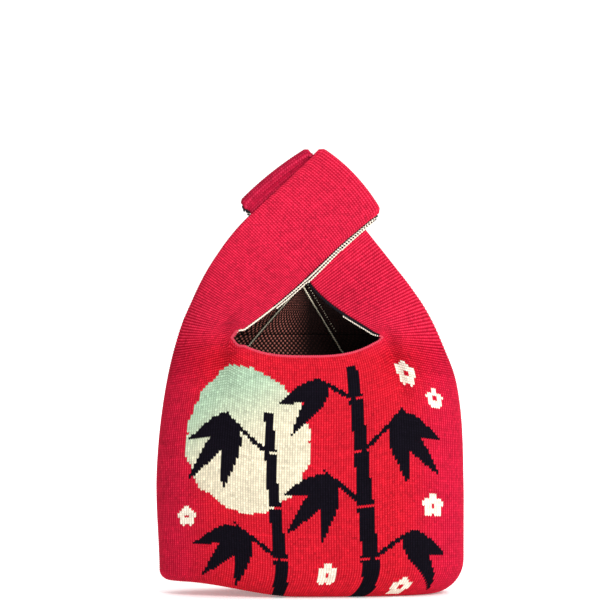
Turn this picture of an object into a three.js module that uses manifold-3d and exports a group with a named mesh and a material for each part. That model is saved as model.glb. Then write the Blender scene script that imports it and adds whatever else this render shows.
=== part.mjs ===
// Knitted knot bag: a soft pouch with two strap loops, the right loop passed through the left one.
// Millimetres, +Z up, front towards -Y, +X to the viewer's right.
// The origin is on the floor under the middle of the pouch.
import * as THREE from "three";
import { mergeVertices } from "three/addons/utils/BufferGeometryUtils.js";
import Module from "manifold-3d";

const wasm = await Module();
wasm.setup();

// Cloth and clearances
const CLOTH = 3; // thickness of the double-bed knit
const GAP = 0.4; // clear space between pieces that touch
const SEAM_R = 1.8; // radius of an overlocked seam ridge
const EDGE_R = 1.5; // radius of an edge binding
const LINK_R = 0.9; // radius of the linking seam in a strap fold
const LINK_INSET = 0.05; // share of the strap's width that this seam stops short of each edge
const SEAM_SLACK = 1.5; // extra space behind the back seams, where the yoke leans over the pouch

// Pouch
const BODY_WIDTH = 231.6; // across the belly
const BODY_DEPTH = 88; // front to back at the belly
const BELLY_Z = 72; // height of the belly
const BASE_DEPTH = 78; // front to back just above the base
const BASE_CORNER = 26; // round of the right base corner seen from the front
const LEFT_CORNER = 8; // round of the left base corner
const LEFT_LEAN = 2.5; // the left side runs in by this much down to the base
const LEAN_Z = 90; // height where it starts to
const BASE_ROLL = 13; // round where the panels turn under
const BASE_LIFT = 10; // height of the left end of the base, which curls off the floor
const LIFT_START = 10; // distance left of the middle where the curl starts
const LIFT_RUN = 84; // length over which it rises
const LIFT_FADE_Z = 70; // height where the curl has faded out
const SHOULDER_Z = 195; // height of the shoulders
const SHOULDER_WIDTH = 193; // across the shoulders
const SHOULDER_DEPTH = 56; // front to back at the shoulders
const SHOULDER_SHIFT = -3.4; // sideways lean of the shoulders
const SWELL = 6; // how far the right side swells out under its shoulder
const SWELL_FROM = 80; // height where the swell starts
const SWELL_RISE = 95; // height over which it grows
const SWELL_END = 168; // height where it starts to go back
const SWELL_FALL = 32; // height over which it goes back
const SECTION_POWER = 2.4; // squareness of the pouch's cross section

// Mouth and shoulders
const MOUTH_WIDTH = 114; // between the corners of the mouth
const MOUTH_X = -2.3; // middle of the mouth
const MOUTH_DROP = 1.5; // the corners lie this far under the shoulders
const MOUTH_DIP = 14; // sag of the front neckline
const MOUTH_POWER = 3; // squareness of that sag
const ARMHOLE_DROP = 11.5; // the straps' outer edges start this far under the mouth corners
const OUTER_ROOT_ANGLE = 72; // steepness of those outer edges, in degrees
const INNER_ROOT_ANGLE = 34; // steepness of the straps' inner edges at the mouth corners
const ROOT_LAP = 3; // the straps run on into the pouch by this much
const YOKE_RISE = 33; // height of the back yoke over the mouth corners
const YOKE_BELLY = 4; // how far the yoke swells backwards
const YOKE_GAP = 1.2; // clear space between the yoke and the back straps
const LEFT_SEAM = { across: 0.18, baseX: -50 }; // a back seam's place across the yoke, and on the base
const RIGHT_SEAM = { across: 0.66, baseX: 44 };
const SEAM_SWEEP = 6; // how late the back seams turn in towards the yoke
const BINDING_FROM = 0.25; // the yoke's top binding covers its width from here ...
const BINDING_TO = 0.58; // ... to here, clear of the right strap's binding

// Knot
const KNOT_X = -1.3; // the middle of the crossing
const KNOT_RISE = 85; // height of the crossing over the shoulders
const LEFT_ANGLE = 43.4; // direction of the left band, degrees from +X towards +Z
const LEFT_WIDTH = 63;
const LEFT_OFFSET = 1.6; // the left band lies this far outwards of the crossing's middle
const LEFT_SPREAD = 2.2; // its inner edge runs out by this much up to the fold
const LEFT_RUN_IN = 1.4; // the left band is flat from this far before the right one
const LEFT_SHOW = 20.8; // the left band runs on past the right one by this much
const LEFT_BOW = 6; // roundness of its fold's line
const RIGHT_ANGLE = 128.4;
const RIGHT_WIDTH = 57.2;
const RIGHT_OFFSET = 0.9;
const PULL_WIDTH = 64; // the pull loop spreads wider than its strap
const RIGHT_RUN_IN = 8.5;
const RIGHT_SHOW = 14.3; // the pull loop stands out behind the left band by this much
const RIGHT_BOW = 2;
const TIP_OPENING = 5.6; // clear space inside the pull loop's fold
const TIP_FLARE = 3; // run over which the pull loop opens
const SPLIT_BEFORE = 8; // the pull loop parts from its strap this far before the crossing

// Nod hinge
const HINGE_RISE = 40; // height over the shoulders of the line that the knot folds over
const HINGE_R = 22; // radius of the round cut under that line

// Fineness of the meshes
const RING_POINTS = 40;
const STRAP_COLUMNS = 6;
const CURVE_ROWS = 10;
const RUN_ROWS = 3;
const FOLD_ROWS = 5;
const YOKE_COLUMNS = 10;
const YOKE_ROWS = 6;
const LINE_POINTS = 11; // points that a seam or edging is drawn through
const CORD_SIDES = 6;
const CORD_STEP = 7;
const TROUGH_SEGMENTS = 20;
const BISECTIONS = 40;
const WELD = 1e-4; // points closer than this are one point

// Heights and layers that follow from the sizes above
const MOUTH_Z = SHOULDER_Z - MOUTH_DROP;
const KNOT_Z = SHOULDER_Z + KNOT_RISE;
const HINGE_Z = SHOULDER_Z + HINGE_RISE;
const LEFT_LEAD = RIGHT_WIDTH / 2 + LEFT_RUN_IN;
const RIGHT_LEAD = LEFT_WIDTH / 2 + RIGHT_RUN_IN;
const RIGHT_LAYER = (GAP + CLOTH) / 2; // from the middle of the knot to the middle of the cloth
const LEFT_LAYER = RIGHT_LAYER + CLOTH + GAP;
const TIP_LAYER = (TIP_OPENING + CLOTH) / 2;

const mix = (a, b, t) => a + (b - a) * t;
const clamp01 = (t) => Math.min(Math.max(t, 0), 1);
const smooth = (t) => clamp01(t) ** 2 * (3 - 2 * clamp01(t));
const radians = THREE.MathUtils.degToRad;
const heading = (degrees) => new THREE.Vector2(Math.cos(radians(degrees)), Math.sin(radians(degrees)));
const spaced = (count, at) => Array.from({ length: count }, (_, k) => at(k / (count - 1)));

// Solids

/** A closed geometry as a solid that can be joined and cut. */
function solid(geometry) {
  const bare = geometry.clone();
  bare.deleteAttribute("normal");
  bare.deleteAttribute("uv");
  const merged = mergeVertices(bare, WELD);
  return new wasm.Manifold(
    new wasm.Mesh({
      numProp: 3,
      vertProperties: new Float32Array(merged.attributes.position.array),
      triVerts: new Uint32Array(merged.index.array),
    }),
  );
}

/** An indexed geometry from points and triangles. */
function meshed(points, triangles) {
  const geometry = new THREE.BufferGeometry();
  const numbers = points.flatMap((p) => p.toArray());
  geometry.setAttribute("position", new THREE.Float32BufferAttribute(numbers, 3));
  geometry.setIndex(triangles);
  return geometry;
}

/** Cloth about a surface given as rows of points. */
function clothSolid(rows) {
  const across = rows[0].length;
  const count = rows.length * across;
  const normal = (j, i) => {
    const along = new THREE.Vector3().subVectors(
      rows[Math.min(j + 1, rows.length - 1)][i],
      rows[Math.max(j - 1, 0)][i],
    );
    const side = new THREE.Vector3().subVectors(
      rows[j][Math.min(i + 1, across - 1)],
      rows[j][Math.max(i - 1, 0)],
    );
    return side.cross(along).normalize();
  };
  const skin = (sign) =>
    rows.flatMap((row, j) =>
      row.map((p, i) => p.clone().addScaledVector(normal(j, i), (sign * CLOTH) / 2)),
    );
  const triangles = [];
  const quad = (a, b, c, d) => triangles.push(a, b, c, a, c, d);
  const at = (j, i) => j * across + i;
  for (let j = 0; j + 1 < rows.length; j++) {
    for (let i = 0; i + 1 < across; i++) {
      quad(at(j, i), at(j, i + 1), at(j + 1, i + 1), at(j + 1, i));
      quad(count + at(j, i), count + at(j + 1, i), count + at(j + 1, i + 1), count + at(j, i + 1));
    }
    quad(at(j, 0), at(j + 1, 0), count + at(j + 1, 0), count + at(j, 0));
    const last = across - 1;
    quad(at(j + 1, last), at(j, last), count + at(j, last), count + at(j + 1, last));
  }
  const top = rows.length - 1;
  for (let i = 0; i + 1 < across; i++) {
    quad(at(0, i + 1), at(0, i), count + at(0, i), count + at(0, i + 1));
    quad(at(top, i), at(top, i + 1), count + at(top, i + 1), count + at(top, i));
  }
  return solid(meshed([...skin(1), ...skin(-1)], triangles));
}

/** A round cord through the points. */
function cordSolid(points, radius) {
  const section = new THREE.Shape();
  for (let k = 0; k < CORD_SIDES; k++) {
    const turn = (2 * Math.PI * k) / CORD_SIDES;
    const corner = [radius * Math.cos(turn), radius * Math.sin(turn)];
    if (k === 0) section.moveTo(...corner);
    else section.lineTo(...corner);
  }
  section.closePath();
  const extrudePath = new THREE.CatmullRomCurve3(points, false, "centripetal");
  const steps = Math.ceil(extrudePath.getLength() / CORD_STEP);
  return solid(new THREE.ExtrudeGeometry(section, { steps, extrudePath, bevelEnabled: false }));
}

/** A box between two corners. */
function boxSolid(low, high) {
  const size = new THREE.Vector3().subVectors(high, low);
  const middle = new THREE.Vector3().addVectors(low, high).multiplyScalar(0.5);
  return solid(new THREE.BoxGeometry(size.x, size.y, size.z).translate(middle.x, middle.y, middle.z));
}

// Pouch

/** Loss of half width at a height above a rounded corner's lowest point. */
function cornerLoss(height, radius) {
  const below = Math.max(radius - height, 0);
  return radius - Math.sqrt(radius * radius - below * below);
}

/** How far the right side swells out at a height. */
function rightSwell(z) {
  return SWELL * smooth((z - SWELL_FROM) / SWELL_RISE) * (1 - smooth((z - SWELL_END) / SWELL_FALL));
}

/** Half width, half depth and sideways shift of the pouch at a height. */
function pouchSection(z) {
  const up = Math.max(z - BELLY_Z, 0) / (SHOULDER_Z - BELLY_Z);
  const down = Math.max(BELLY_Z - z, 0) / BELLY_Z;
  const leftLoss = cornerLoss(z, LEFT_CORNER) + LEFT_LEAN * (1 - smooth(z / LEAN_Z));
  const rightLoss = cornerLoss(z, BASE_CORNER) - rightSwell(z);
  return {
    width: (mix(BODY_WIDTH, SHOULDER_WIDTH, up * up) - leftLoss - rightLoss) / 2,
    depth:
      (mix(BODY_DEPTH, SHOULDER_DEPTH, up * up) - (BODY_DEPTH - BASE_DEPTH) * down * down) / 2 -
      cornerLoss(z, BASE_ROLL),
    shift: SHOULDER_SHIFT * up * up + (leftLoss - rightLoss) / 2,
  };
}

/** Half depth of the pouch at a point of its front view, inset from the outside. */
function pouchDepthAt(x, z, inset) {
  const { width, depth, shift } = pouchSection(z);
  const aside = Math.min(Math.abs(x - shift) / (width - inset), 1);
  return (depth - inset) * (1 - aside ** SECTION_POWER) ** (1 / SECTION_POWER);
}

/** Height that the curled left end of the base adds to a point. */
function baseLift(x, z) {
  return BASE_LIFT * smooth((-x - LIFT_START) / LIFT_RUN) * (1 - smooth(z / LIFT_FADE_Z));
}

/** The pouch as a filled form, its walls and floor drawn in by the inset. */
function pouchForm(inset, topZ) {
  const rounds = [0, 0.06, 0.2, 0.45, 0.75, 1].map((part) => mix(inset, BASE_CORNER, part));
  const walls = [0.25, 0.5, 0.75, 1].map((part) => mix(BASE_CORNER, BELLY_Z, part));
  const upper = [0.2, 0.4, 0.55, 0.68, 0.78, 0.86, 0.93, 1].map((part) => mix(BELLY_Z, topZ, part));
  const floorScales = [0.1, 0.2, 0.35, 0.65];
  const squared = (value) => Math.sign(value) * Math.abs(value) ** (2 / SECTION_POWER);
  const ring = (z, scale) => {
    const { width, depth, shift } = pouchSection(z);
    return Array.from({ length: RING_POINTS }, (_, k) => {
      const turn = (2 * Math.PI * k) / RING_POINTS;
      const x = squared(Math.cos(turn)) * (width - inset) * scale + shift;
      const y = squared(Math.sin(turn)) * (depth - inset) * scale;
      return new THREE.Vector3(x, y, z + baseLift(x, z));
    });
  };
  const rings = [
    ...floorScales.map((scale) => ring(inset, scale)),
    ...[...rounds, ...walls, ...upper].map((z) => ring(z, 1)),
  ];
  const points = rings.flat();
  const bottom = points.push(new THREE.Vector3(0, 0, inset)) - 1;
  const top = points.push(new THREE.Vector3(pouchSection(topZ).shift, 0, topZ)) - 1;
  const triangles = [];
  const lastRing = (rings.length - 1) * RING_POINTS;
  for (let k = 0; k < RING_POINTS; k++) {
    const next = (k + 1) % RING_POINTS;
    triangles.push(bottom, next, k);
    triangles.push(top, lastRing + k, lastRing + next);
    for (let j = 0; j + 1 < rings.length; j++) {
      const low = j * RING_POINTS;
      const high = low + RING_POINTS;
      triangles.push(low + k, low + next, high + next);
      triangles.push(low + k, high + next, high + k);
    }
  }
  return solid(meshed(points, triangles));
}

// Straps

/** A strap loop: the curves of its edges up to the straight band, and the band's own frame. */
function strapLoop({ sign, angle, width, offset, spread, lead, reach, bow, layer, foldLayer, flareAt }) {
  const along = heading(angle);
  const outward = new THREE.Vector2(-along.y, along.x).multiplyScalar(-sign);
  const knot = new THREE.Vector2(KNOT_X, KNOT_Z).addScaledVector(outward, offset);
  const bandEdge = (side, distance) =>
    knot.clone().addScaledVector(along, distance).addScaledVector(outward, (side * width) / 2);
  const innerRoot = new THREE.Vector2(MOUTH_X + (sign * MOUTH_WIDTH) / 2, MOUTH_Z);
  const outerZ = MOUTH_Z - ARMHOLE_DROP;
  const section = pouchSection(outerZ);
  const outerRoot = new THREE.Vector2(section.shift + sign * (section.width - CLOTH / 2), outerZ);
  const curve = (root, rootAngle, end) => {
    const handle = root.distanceTo(end) / 3;
    return new THREE.CubicBezierCurve(
      root,
      root.clone().addScaledVector(heading(rootAngle), handle),
      end.clone().addScaledVector(along, -handle),
      end,
    );
  };
  const level = sign < 0 ? 0 : 180;
  return {
    along, outward, knot, width, spread, lead, reach, bow, layer, foldLayer, flareAt,
    outer: curve(outerRoot, level - sign * OUTER_ROOT_ANGLE, bandEdge(1, -lead)),
    inner: curve(innerRoot, level - sign * INNER_ROOT_ANGLE, bandEdge(-1, -lead)),
  };
}

/** Where a strap's flat band ends and its fold begins, at a place across it (0 outer edge, 1 inner edge). */
const foldStart = (loop, across) =>
  loop.reach - loop.bow * (2 * across - 1) ** 2 - CLOTH / 2 - loop.foldLayer;

/** A point in the plane of a strap's band at a distance along it from the crossing. */
function flatPoint(loop, across, distance) {
  const run = loop.spread * Math.max(2 * across - 1, 0) * smooth(distance / loop.reach);
  return loop.knot
    .clone()
    .addScaledVector(loop.along, distance)
    .addScaledVector(loop.outward, (0.5 - across) * loop.width - run);
}

/** A point of a strap's root: across 0 to 1 from its outer edge, part 0 to 1 from the pouch to the band. */
function rootPoint(loop, across, part) {
  const edge = (curve) => {
    const point = curve.getPoint(Math.max(part, 0));
    return part < 0 ? point.addScaledVector(curve.getTangent(0), part * curve.getLength()) : point;
  };
  const flat = edge(loop.outer).lerp(edge(loop.inner), across);
  const foot = loop.outer.getPoint(0).lerp(loop.inner.getPoint(0), across);
  const rootDepth = Math.max(pouchDepthAt(foot.x, foot.y, CLOTH / 2), (GAP + CLOTH) / 2);
  return new THREE.Vector3(flat.x, mix(rootDepth, loop.layer, smooth(part)), flat.y);
}

/** A point of a strap's band at a distance along it from the crossing; past its flat end it turns over. */
function bandPoint(loop, across, distance) {
  const start = foldStart(loop, across);
  const open = smooth((distance - loop.flareAt) / TIP_FLARE);
  const layer = mix(loop.layer, loop.foldLayer, open);
  const turn = Math.max(distance - start, 0) / loop.foldLayer;
  const reach = Math.min(distance, start) + loop.foldLayer * Math.sin(turn);
  const flat = flatPoint(loop, across, reach);
  return new THREE.Vector3(flat.x, turn > 0 ? loop.foldLayer * Math.cos(turn) : layer, flat.y);
}

/** A row of points across a strap. */
const strapRow = (pointAt) => spaced(STRAP_COLUMNS + 1, pointAt);

/** Rows of the curved root, from inside the pouch to the band. */
function rootRows(loop) {
  const lap = -ROOT_LAP / loop.inner.getLength();
  return spaced(CURVE_ROWS + 1, (part) =>
    strapRow((across) => rootPoint(loop, across, mix(lap, 1, part))),
  );
}

/** Rows of the flat band between two distances; the second may follow the fold's line. */
function runRows(loop, from, toAt) {
  return Array.from({ length: RUN_ROWS }, (_, j) =>
    strapRow((across) => bandPoint(loop, across, mix(from, toAt(across), (j + 1) / RUN_ROWS))),
  );
}

/** Rows round the fold, up to the linking seam. */
function foldRows(loop) {
  const quarter = (loop.foldLayer * Math.PI) / 2 - GAP;
  return Array.from({ length: FOLD_ROWS }, (_, j) =>
    strapRow((across) =>
      bandPoint(loop, across, foldStart(loop, across) + (quarter * (j + 1)) / FOLD_ROWS),
    ),
  );
}

/** Rows mirrored to the front or kept at the back, so that their order still faces out. */
const onSide = (rows, side) =>
  rows.map((row) => row.map((p) => new THREE.Vector3(p.x, side * p.y, p.z)));

/** The line of a strap's edging, beside its inner edge, between two distances along the band. */
function edgingPoints(loop, side, fromPart, from, to) {
  const clearance = GAP + EDGE_R;
  const points = [];
  if (fromPart < 1) {
    for (let j = 0; j < CURVE_ROWS; j++) {
      const part = mix(fromPart, 1, j / CURVE_ROWS);
      const edge = rootPoint(loop, 1, part);
      const tangent = loop.inner.getTangent(part);
      const away = new THREE.Vector2(-tangent.y, tangent.x);
      away.multiplyScalar(away.dot(loop.outward) > 0 ? -clearance : clearance);
      points.push(new THREE.Vector3(edge.x + away.x, side * edge.y, edge.z + away.y));
    }
  }
  for (let j = 0; j <= RUN_ROWS; j++) {
    const edge = bandPoint(loop, 1, mix(from, to, j / RUN_ROWS));
    const away = loop.outward.clone().multiplyScalar(-clearance);
    points.push(new THREE.Vector3(edge.x + away.x, side * edge.y, edge.z + away.y));
  }
  return points;
}

/** The linking seam in a fold: a cord across the strap inside the turn. */
function linkSolid(loop) {
  const inside = loop.foldLayer - CLOTH / 2 - GAP - LINK_R;
  const points = strapRow((part) => {
    const across = mix(LINK_INSET, 1 - LINK_INSET, part);
    const flat = flatPoint(loop, across, foldStart(loop, across) + inside);
    return new THREE.Vector3(flat.x, 0, flat.y);
  });
  return cordSolid(points, LINK_R);
}

const leftReach = RIGHT_WIDTH / 2 + LEFT_SHOW;
const rightReach = LEFT_WIDTH / 2 + RIGHT_SHOW;
const leftLoop = strapLoop({
  sign: -1,
  angle: LEFT_ANGLE,
  width: LEFT_WIDTH,
  offset: LEFT_OFFSET,
  spread: LEFT_SPREAD,
  lead: LEFT_LEAD,
  reach: leftReach,
  bow: LEFT_BOW,
  layer: LEFT_LAYER,
  foldLayer: LEFT_LAYER,
  flareAt: leftReach,
});
const rightLoop = strapLoop({
  sign: 1,
  angle: RIGHT_ANGLE,
  width: RIGHT_WIDTH,
  offset: RIGHT_OFFSET,
  spread: 0,
  lead: RIGHT_LEAD,
  reach: rightReach,
  bow: RIGHT_BOW,
  layer: RIGHT_LAYER,
  foldLayer: TIP_LAYER,
  flareAt: rightReach - CLOTH / 2 - TIP_LAYER - TIP_FLARE,
});
const pullLoop = { ...rightLoop, width: PULL_WIDTH };

/** One strip of the left loop, from the pouch to the linking seam. */
const leftStrip = (side) =>
  clothSolid(
    onSide(
      [
        ...rootRows(leftLoop),
        ...runRows(leftLoop, -LEFT_LEAD, (across) => foldStart(leftLoop, across)),
        ...foldRows(leftLoop),
      ],
      side,
    ),
  );

/** One strip of the right strap, from the pouch to where the pull loop takes over. */
const rightStrip = (side) =>
  clothSolid(
    onSide([...rootRows(rightLoop), ...runRows(rightLoop, -RIGHT_LEAD, () => -SPLIT_BEFORE - GAP / 2)], side),
  );

/** One strip of the pull loop. */
function pullStrip(side) {
  const first = -SPLIT_BEFORE + GAP / 2;
  return clothSolid(
    onSide(
      [
        strapRow((across) => bandPoint(pullLoop, across, first)),
        ...runRows(pullLoop, first, () => pullLoop.flareAt),
        ...runRows(pullLoop, pullLoop.flareAt, (across) => foldStart(pullLoop, across)),
        ...foldRows(pullLoop),
      ],
      side,
    ),
  );
}

// Back yoke

/** Part of a strap's inner curve at a height. */
function partAtHeight(loop, z) {
  let low = 0;
  let high = 1;
  for (let k = 0; k < BISECTIONS; k++) {
    const middle = (low + high) / 2;
    if (loop.inner.getPoint(middle).y < z) low = middle;
    else high = middle;
  }
  return low;
}

/** A point of the back yoke: across 0 to 1 from the left strap, at a rise over the mouth corners. */
function yokePoint(across, rise) {
  const side = (loop, sign) => {
    const part = rise < 0 ? rise / loop.inner.getLength() : partAtHeight(loop, MOUTH_Z + rise);
    const edge = rootPoint(loop, 1, part);
    const tangent = loop.inner.getTangent(Math.max(part, 0));
    edge.x += (sign * YOKE_GAP) / Math.abs(tangent.y);
    return edge;
  };
  const point = side(leftLoop, 1).lerp(side(rightLoop, -1), across);
  point.y += YOKE_BELLY * Math.sin(Math.PI * across) * (1 - clamp01(rise / YOKE_RISE));
  return point;
}

const yokeRows = spaced(YOKE_ROWS + 1, (up) =>
  spaced(YOKE_COLUMNS + 1, (across) => yokePoint(across, mix(-ROOT_LAP, YOKE_RISE, up))),
);

/** An overlocked seam inside the back, from the base up over the yoke. */
function backSeamSolid({ across, baseX }) {
  const inward = CLOTH + GAP + SEAM_R + SEAM_SLACK;
  const topX = yokePoint(across, 0).x;
  const lowest = BASE_ROLL + 2 * CLOTH;
  const highest = MOUTH_Z - 4 * ROOT_LAP;
  const onPouch = spaced(LINE_POINTS, (up) => {
    const z = mix(lowest, highest, up);
    const x = mix(baseX, topX, up ** SEAM_SWEEP);
    return new THREE.Vector3(x, pouchDepthAt(x, z, inward), z + baseLift(x, z));
  });
  const onYoke = spaced(YOKE_ROWS, (up) => {
    const p = yokePoint(across, YOKE_RISE * up);
    return p.setY(p.y - inward + CLOTH / 2);
  });
  return cordSolid([...onPouch, ...onYoke], SEAM_R);
}

// Mouth

/** The front neckline between the mouth corners, sagging in the middle. */
function necklineZ(x) {
  const aside = Math.abs(x - MOUTH_X) / (MOUTH_WIDTH / 2);
  return MOUTH_Z - MOUTH_DIP * (1 - Math.min(aside, 1) ** MOUTH_POWER);
}

/** Everything above the pouch's own top edge, to be cut away, over the front or the back. */
function aboveTop(side) {
  const reach = BODY_WIDTH;
  const shape = new THREE.Shape();
  const left = leftLoop.outer.getPoint(0);
  const right = rightLoop.outer.getPoint(0);
  shape.moveTo(-reach, left.y);
  shape.lineTo(left.x, left.y);
  for (const x of spaced(2 * LINE_POINTS, (across) => MOUTH_X + MOUTH_WIDTH * (across - 0.5))) {
    shape.lineTo(x, side < 0 ? necklineZ(x) : MOUTH_Z);
  }
  shape.lineTo(right.x, right.y);
  shape.lineTo(reach, right.y);
  shape.lineTo(reach, KNOT_Z);
  shape.lineTo(-reach, KNOT_Z);
  shape.closePath();
  const slab = new THREE.ExtrudeGeometry(shape, { depth: BODY_DEPTH, bevelEnabled: false });
  slab.rotateX(Math.PI / 2);
  return solid(side < 0 ? slab : slab.translate(0, BODY_DEPTH, 0));
}

/** The space that the knot moves in: a round trough along the hinge line and all that is above it. */
function knotSpace(growth) {
  const shape = new THREE.Shape();
  const tall = 2 * (KNOT_Z - HINGE_Z) + leftReach + rightReach;
  shape.moveTo(BODY_DEPTH, -growth);
  shape.lineTo(BODY_DEPTH, tall);
  shape.lineTo(-BODY_DEPTH, tall);
  shape.lineTo(-BODY_DEPTH, -growth);
  shape.lineTo(-HINGE_R - growth, -growth);
  shape.absarc(0, 0, HINGE_R + growth, Math.PI, 2 * Math.PI, false);
  shape.closePath();
  const trough = new THREE.ExtrudeGeometry(shape, {
    depth: 2 * BODY_WIDTH,
    bevelEnabled: false,
    curveSegments: TROUGH_SEGMENTS,
  });
  trough.translate(0, 0, -BODY_WIDTH).rotateX(Math.PI / 2).rotateZ(Math.PI / 2);
  return solid(trough.translate(0, 0, HINGE_Z));
}

const topZ = SHOULDER_Z + ROOT_LAP;
const shell = pouchForm(0, topZ).subtract(pouchForm(CLOTH, topZ + CLOTH));
const moving = knotSpace(0);
const cleared = knotSpace(GAP);

/** Half of the pouch, front (-1) or back (1), with the roots of its straps. */
function panel(side, strips) {
  const far = BODY_WIDTH;
  const half =
    side < 0
      ? boxSolid(new THREE.Vector3(-far, -far, -far), new THREE.Vector3(far, -GAP / 2, far))
      : boxSolid(new THREE.Vector3(-far, GAP / 2, -far), new THREE.Vector3(far, far, far));
  return strips.reduce(
    (whole, strip) => whole.add(strip.intersect(half).subtract(cleared)),
    shell.intersect(half).subtract(aboveTop(side)),
  );
}

const leftFront = leftStrip(-1);
const leftBack = leftStrip(1);
const rightFront = rightStrip(-1);
const rightBack = rightStrip(1);
const yoke = clothSolid(yokeRows);

/** The rolled edge along the front neckline. */
function frontMouthEdging() {
  const points = spaced(2 * LINE_POINTS, (across) => {
    const x = MOUTH_X + (MOUTH_WIDTH - 8 * EDGE_R) * (across - 0.5);
    const z = necklineZ(x) + GAP + EDGE_R;
    return new THREE.Vector3(x, -pouchDepthAt(x, z, CLOTH / 2), z);
  });
  return cordSolid(points, EDGE_R);
}

/** The binding along the top of the back yoke, clear of the straps at both ends. */
function backMouthEdging() {
  const points = spaced(LINE_POINTS, (part) => {
    const p = yokePoint(mix(BINDING_FROM, BINDING_TO, part), YOKE_RISE);
    return p.setZ(p.z + YOKE_GAP + EDGE_R);
  });
  return cordSolid(points, EDGE_R);
}

/** A side seam ridge inside the pouch. */
function sideSeam(sign) {
  const points = spaced(LINE_POINTS, (up) => {
    const z = mix(BASE_CORNER, MOUTH_Z - ARMHOLE_DROP - 2 * ROOT_LAP, up);
    const { width, shift } = pouchSection(z);
    const x = shift + sign * (width - CLOTH - GAP - SEAM_R);
    return new THREE.Vector3(x, 0, z + baseLift(x, z));
  });
  return cordSolid(points, SEAM_R);
}

/** The seam ridge along the middle of the base, inside. */
function baseSeam() {
  const half = BODY_WIDTH / 2 - BASE_CORNER - 2 * SEAM_R;
  const points = spaced(LINE_POINTS, (across) => {
    const x = mix(-half, half, across);
    return new THREE.Vector3(x, 0, CLOTH + GAP + SEAM_R + baseLift(x, CLOTH));
  });
  return cordSolid(points, SEAM_R);
}

const leftEdging = (side, fromPart) =>
  cordSolid(edgingPoints(leftLoop, side, fromPart, -LEFT_LEAD, foldStart(leftLoop, 1)), EDGE_R);
const rightEdging = (side, fromPart) =>
  cordSolid(edgingPoints(rightLoop, side, fromPart, -RIGHT_LEAD, -SPLIT_BEFORE - GAP / 2), EDGE_R);
const pullEdging = (side) =>
  cordSolid(edgingPoints(pullLoop, side, 1, -SPLIT_BEFORE + GAP / 2, foldStart(pullLoop, 1)), EDGE_R);

/** Part of a strap's inner curve where its back edging starts, clear of the yoke and its binding. */
const overYoke = (loop) => partAtHeight(loop, MOUTH_Z + YOKE_RISE + YOKE_GAP + 4 * EDGE_R);

// Named pieces, each with the colour of its knit

const RED = 0xd9284a;
const DARK_RED = 0xb01a3c;
const CREAM = 0xf3e6d2;
const BLACK = 0x17121c;

const group = new THREE.Group();

/** Adds a solid to the group as a named piece. */
function piece(name, body, color) {
  const mesh = body.getMesh();
  const geometry = new THREE.BufferGeometry();
  geometry.setAttribute("position", new THREE.BufferAttribute(mesh.vertProperties, 3));
  geometry.setIndex(new THREE.BufferAttribute(mesh.triVerts, 1));
  geometry.computeVertexNormals();
  const material = new THREE.MeshStandardMaterial({ color, roughness: 0.9, metalness: 0 });
  const made = new THREE.Mesh(geometry, material);
  made.name = name;
  group.add(made);
}

piece("front_panel", panel(-1, [leftFront, rightFront]), RED);
piece("back_panel", panel(1, [leftBack, rightBack, yoke]), RED);
piece("left_side_seam", sideSeam(-1), CREAM);
piece("right_side_seam", sideSeam(1), CREAM);
piece("base_seam", baseSeam(), CREAM);
piece("left_back_seam", backSeamSolid(LEFT_SEAM).subtract(cleared), CREAM);
piece("right_back_seam", backSeamSolid(RIGHT_SEAM).subtract(cleared), CREAM);
piece("front_mouth_edging", frontMouthEdging(), DARK_RED);
piece("back_yoke", yoke.intersect(moving), RED);
piece("back_mouth_edging", backMouthEdging(), CREAM);
piece("left_strap_front", leftFront.intersect(moving), RED);
piece("left_strap_back", leftBack.intersect(moving), RED);
piece("left_strap_top_seam", linkSolid(leftLoop), BLACK);
piece("left_strap_front_edging", leftEdging(-1, 0).intersect(moving), CREAM);
piece("left_strap_back_edging", leftEdging(1, overYoke(leftLoop)), CREAM);
piece("right_strap_front", rightFront.intersect(moving), RED);
piece("right_strap_back", rightBack.intersect(moving), RED);
piece("right_strap_front_edging", rightEdging(-1, 0).intersect(moving), CREAM);
piece("right_strap_back_edging", rightEdging(1, overYoke(rightLoop)), CREAM);
piece("pull_loop_front", pullStrip(-1), DARK_RED);
piece("pull_loop_back", pullStrip(1), DARK_RED);
piece("pull_loop_top_seam", linkSolid(pullLoop), BLACK);
piece("pull_loop_front_edging", pullEdging(-1), CREAM);
piece("pull_loop_back_edging", pullEdging(1), CREAM);

export default group;
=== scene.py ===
"""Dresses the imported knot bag: knitted panels, two strap loops tied over the mouth, selvedges and seams."""

import logging
import math
from dataclasses import dataclass, field, replace
from enum import Enum, IntEnum
from typing import Optional, Sequence

import bmesh
import bpy
import numpy as np
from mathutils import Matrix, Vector


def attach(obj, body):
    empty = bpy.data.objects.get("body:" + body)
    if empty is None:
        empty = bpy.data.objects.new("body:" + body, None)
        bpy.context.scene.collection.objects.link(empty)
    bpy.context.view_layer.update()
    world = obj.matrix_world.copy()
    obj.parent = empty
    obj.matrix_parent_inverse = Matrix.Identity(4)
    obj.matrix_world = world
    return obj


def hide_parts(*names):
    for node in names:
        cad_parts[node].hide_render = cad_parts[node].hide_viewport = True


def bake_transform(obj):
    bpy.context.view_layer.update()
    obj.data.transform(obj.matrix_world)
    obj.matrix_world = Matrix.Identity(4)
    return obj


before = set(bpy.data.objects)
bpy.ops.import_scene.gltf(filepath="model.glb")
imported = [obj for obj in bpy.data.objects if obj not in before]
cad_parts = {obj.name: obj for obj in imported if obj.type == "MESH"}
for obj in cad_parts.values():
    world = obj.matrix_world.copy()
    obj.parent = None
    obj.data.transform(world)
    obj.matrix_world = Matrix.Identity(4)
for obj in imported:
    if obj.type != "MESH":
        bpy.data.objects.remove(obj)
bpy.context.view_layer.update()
LOG = logging.getLogger("knot_bag")

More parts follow.
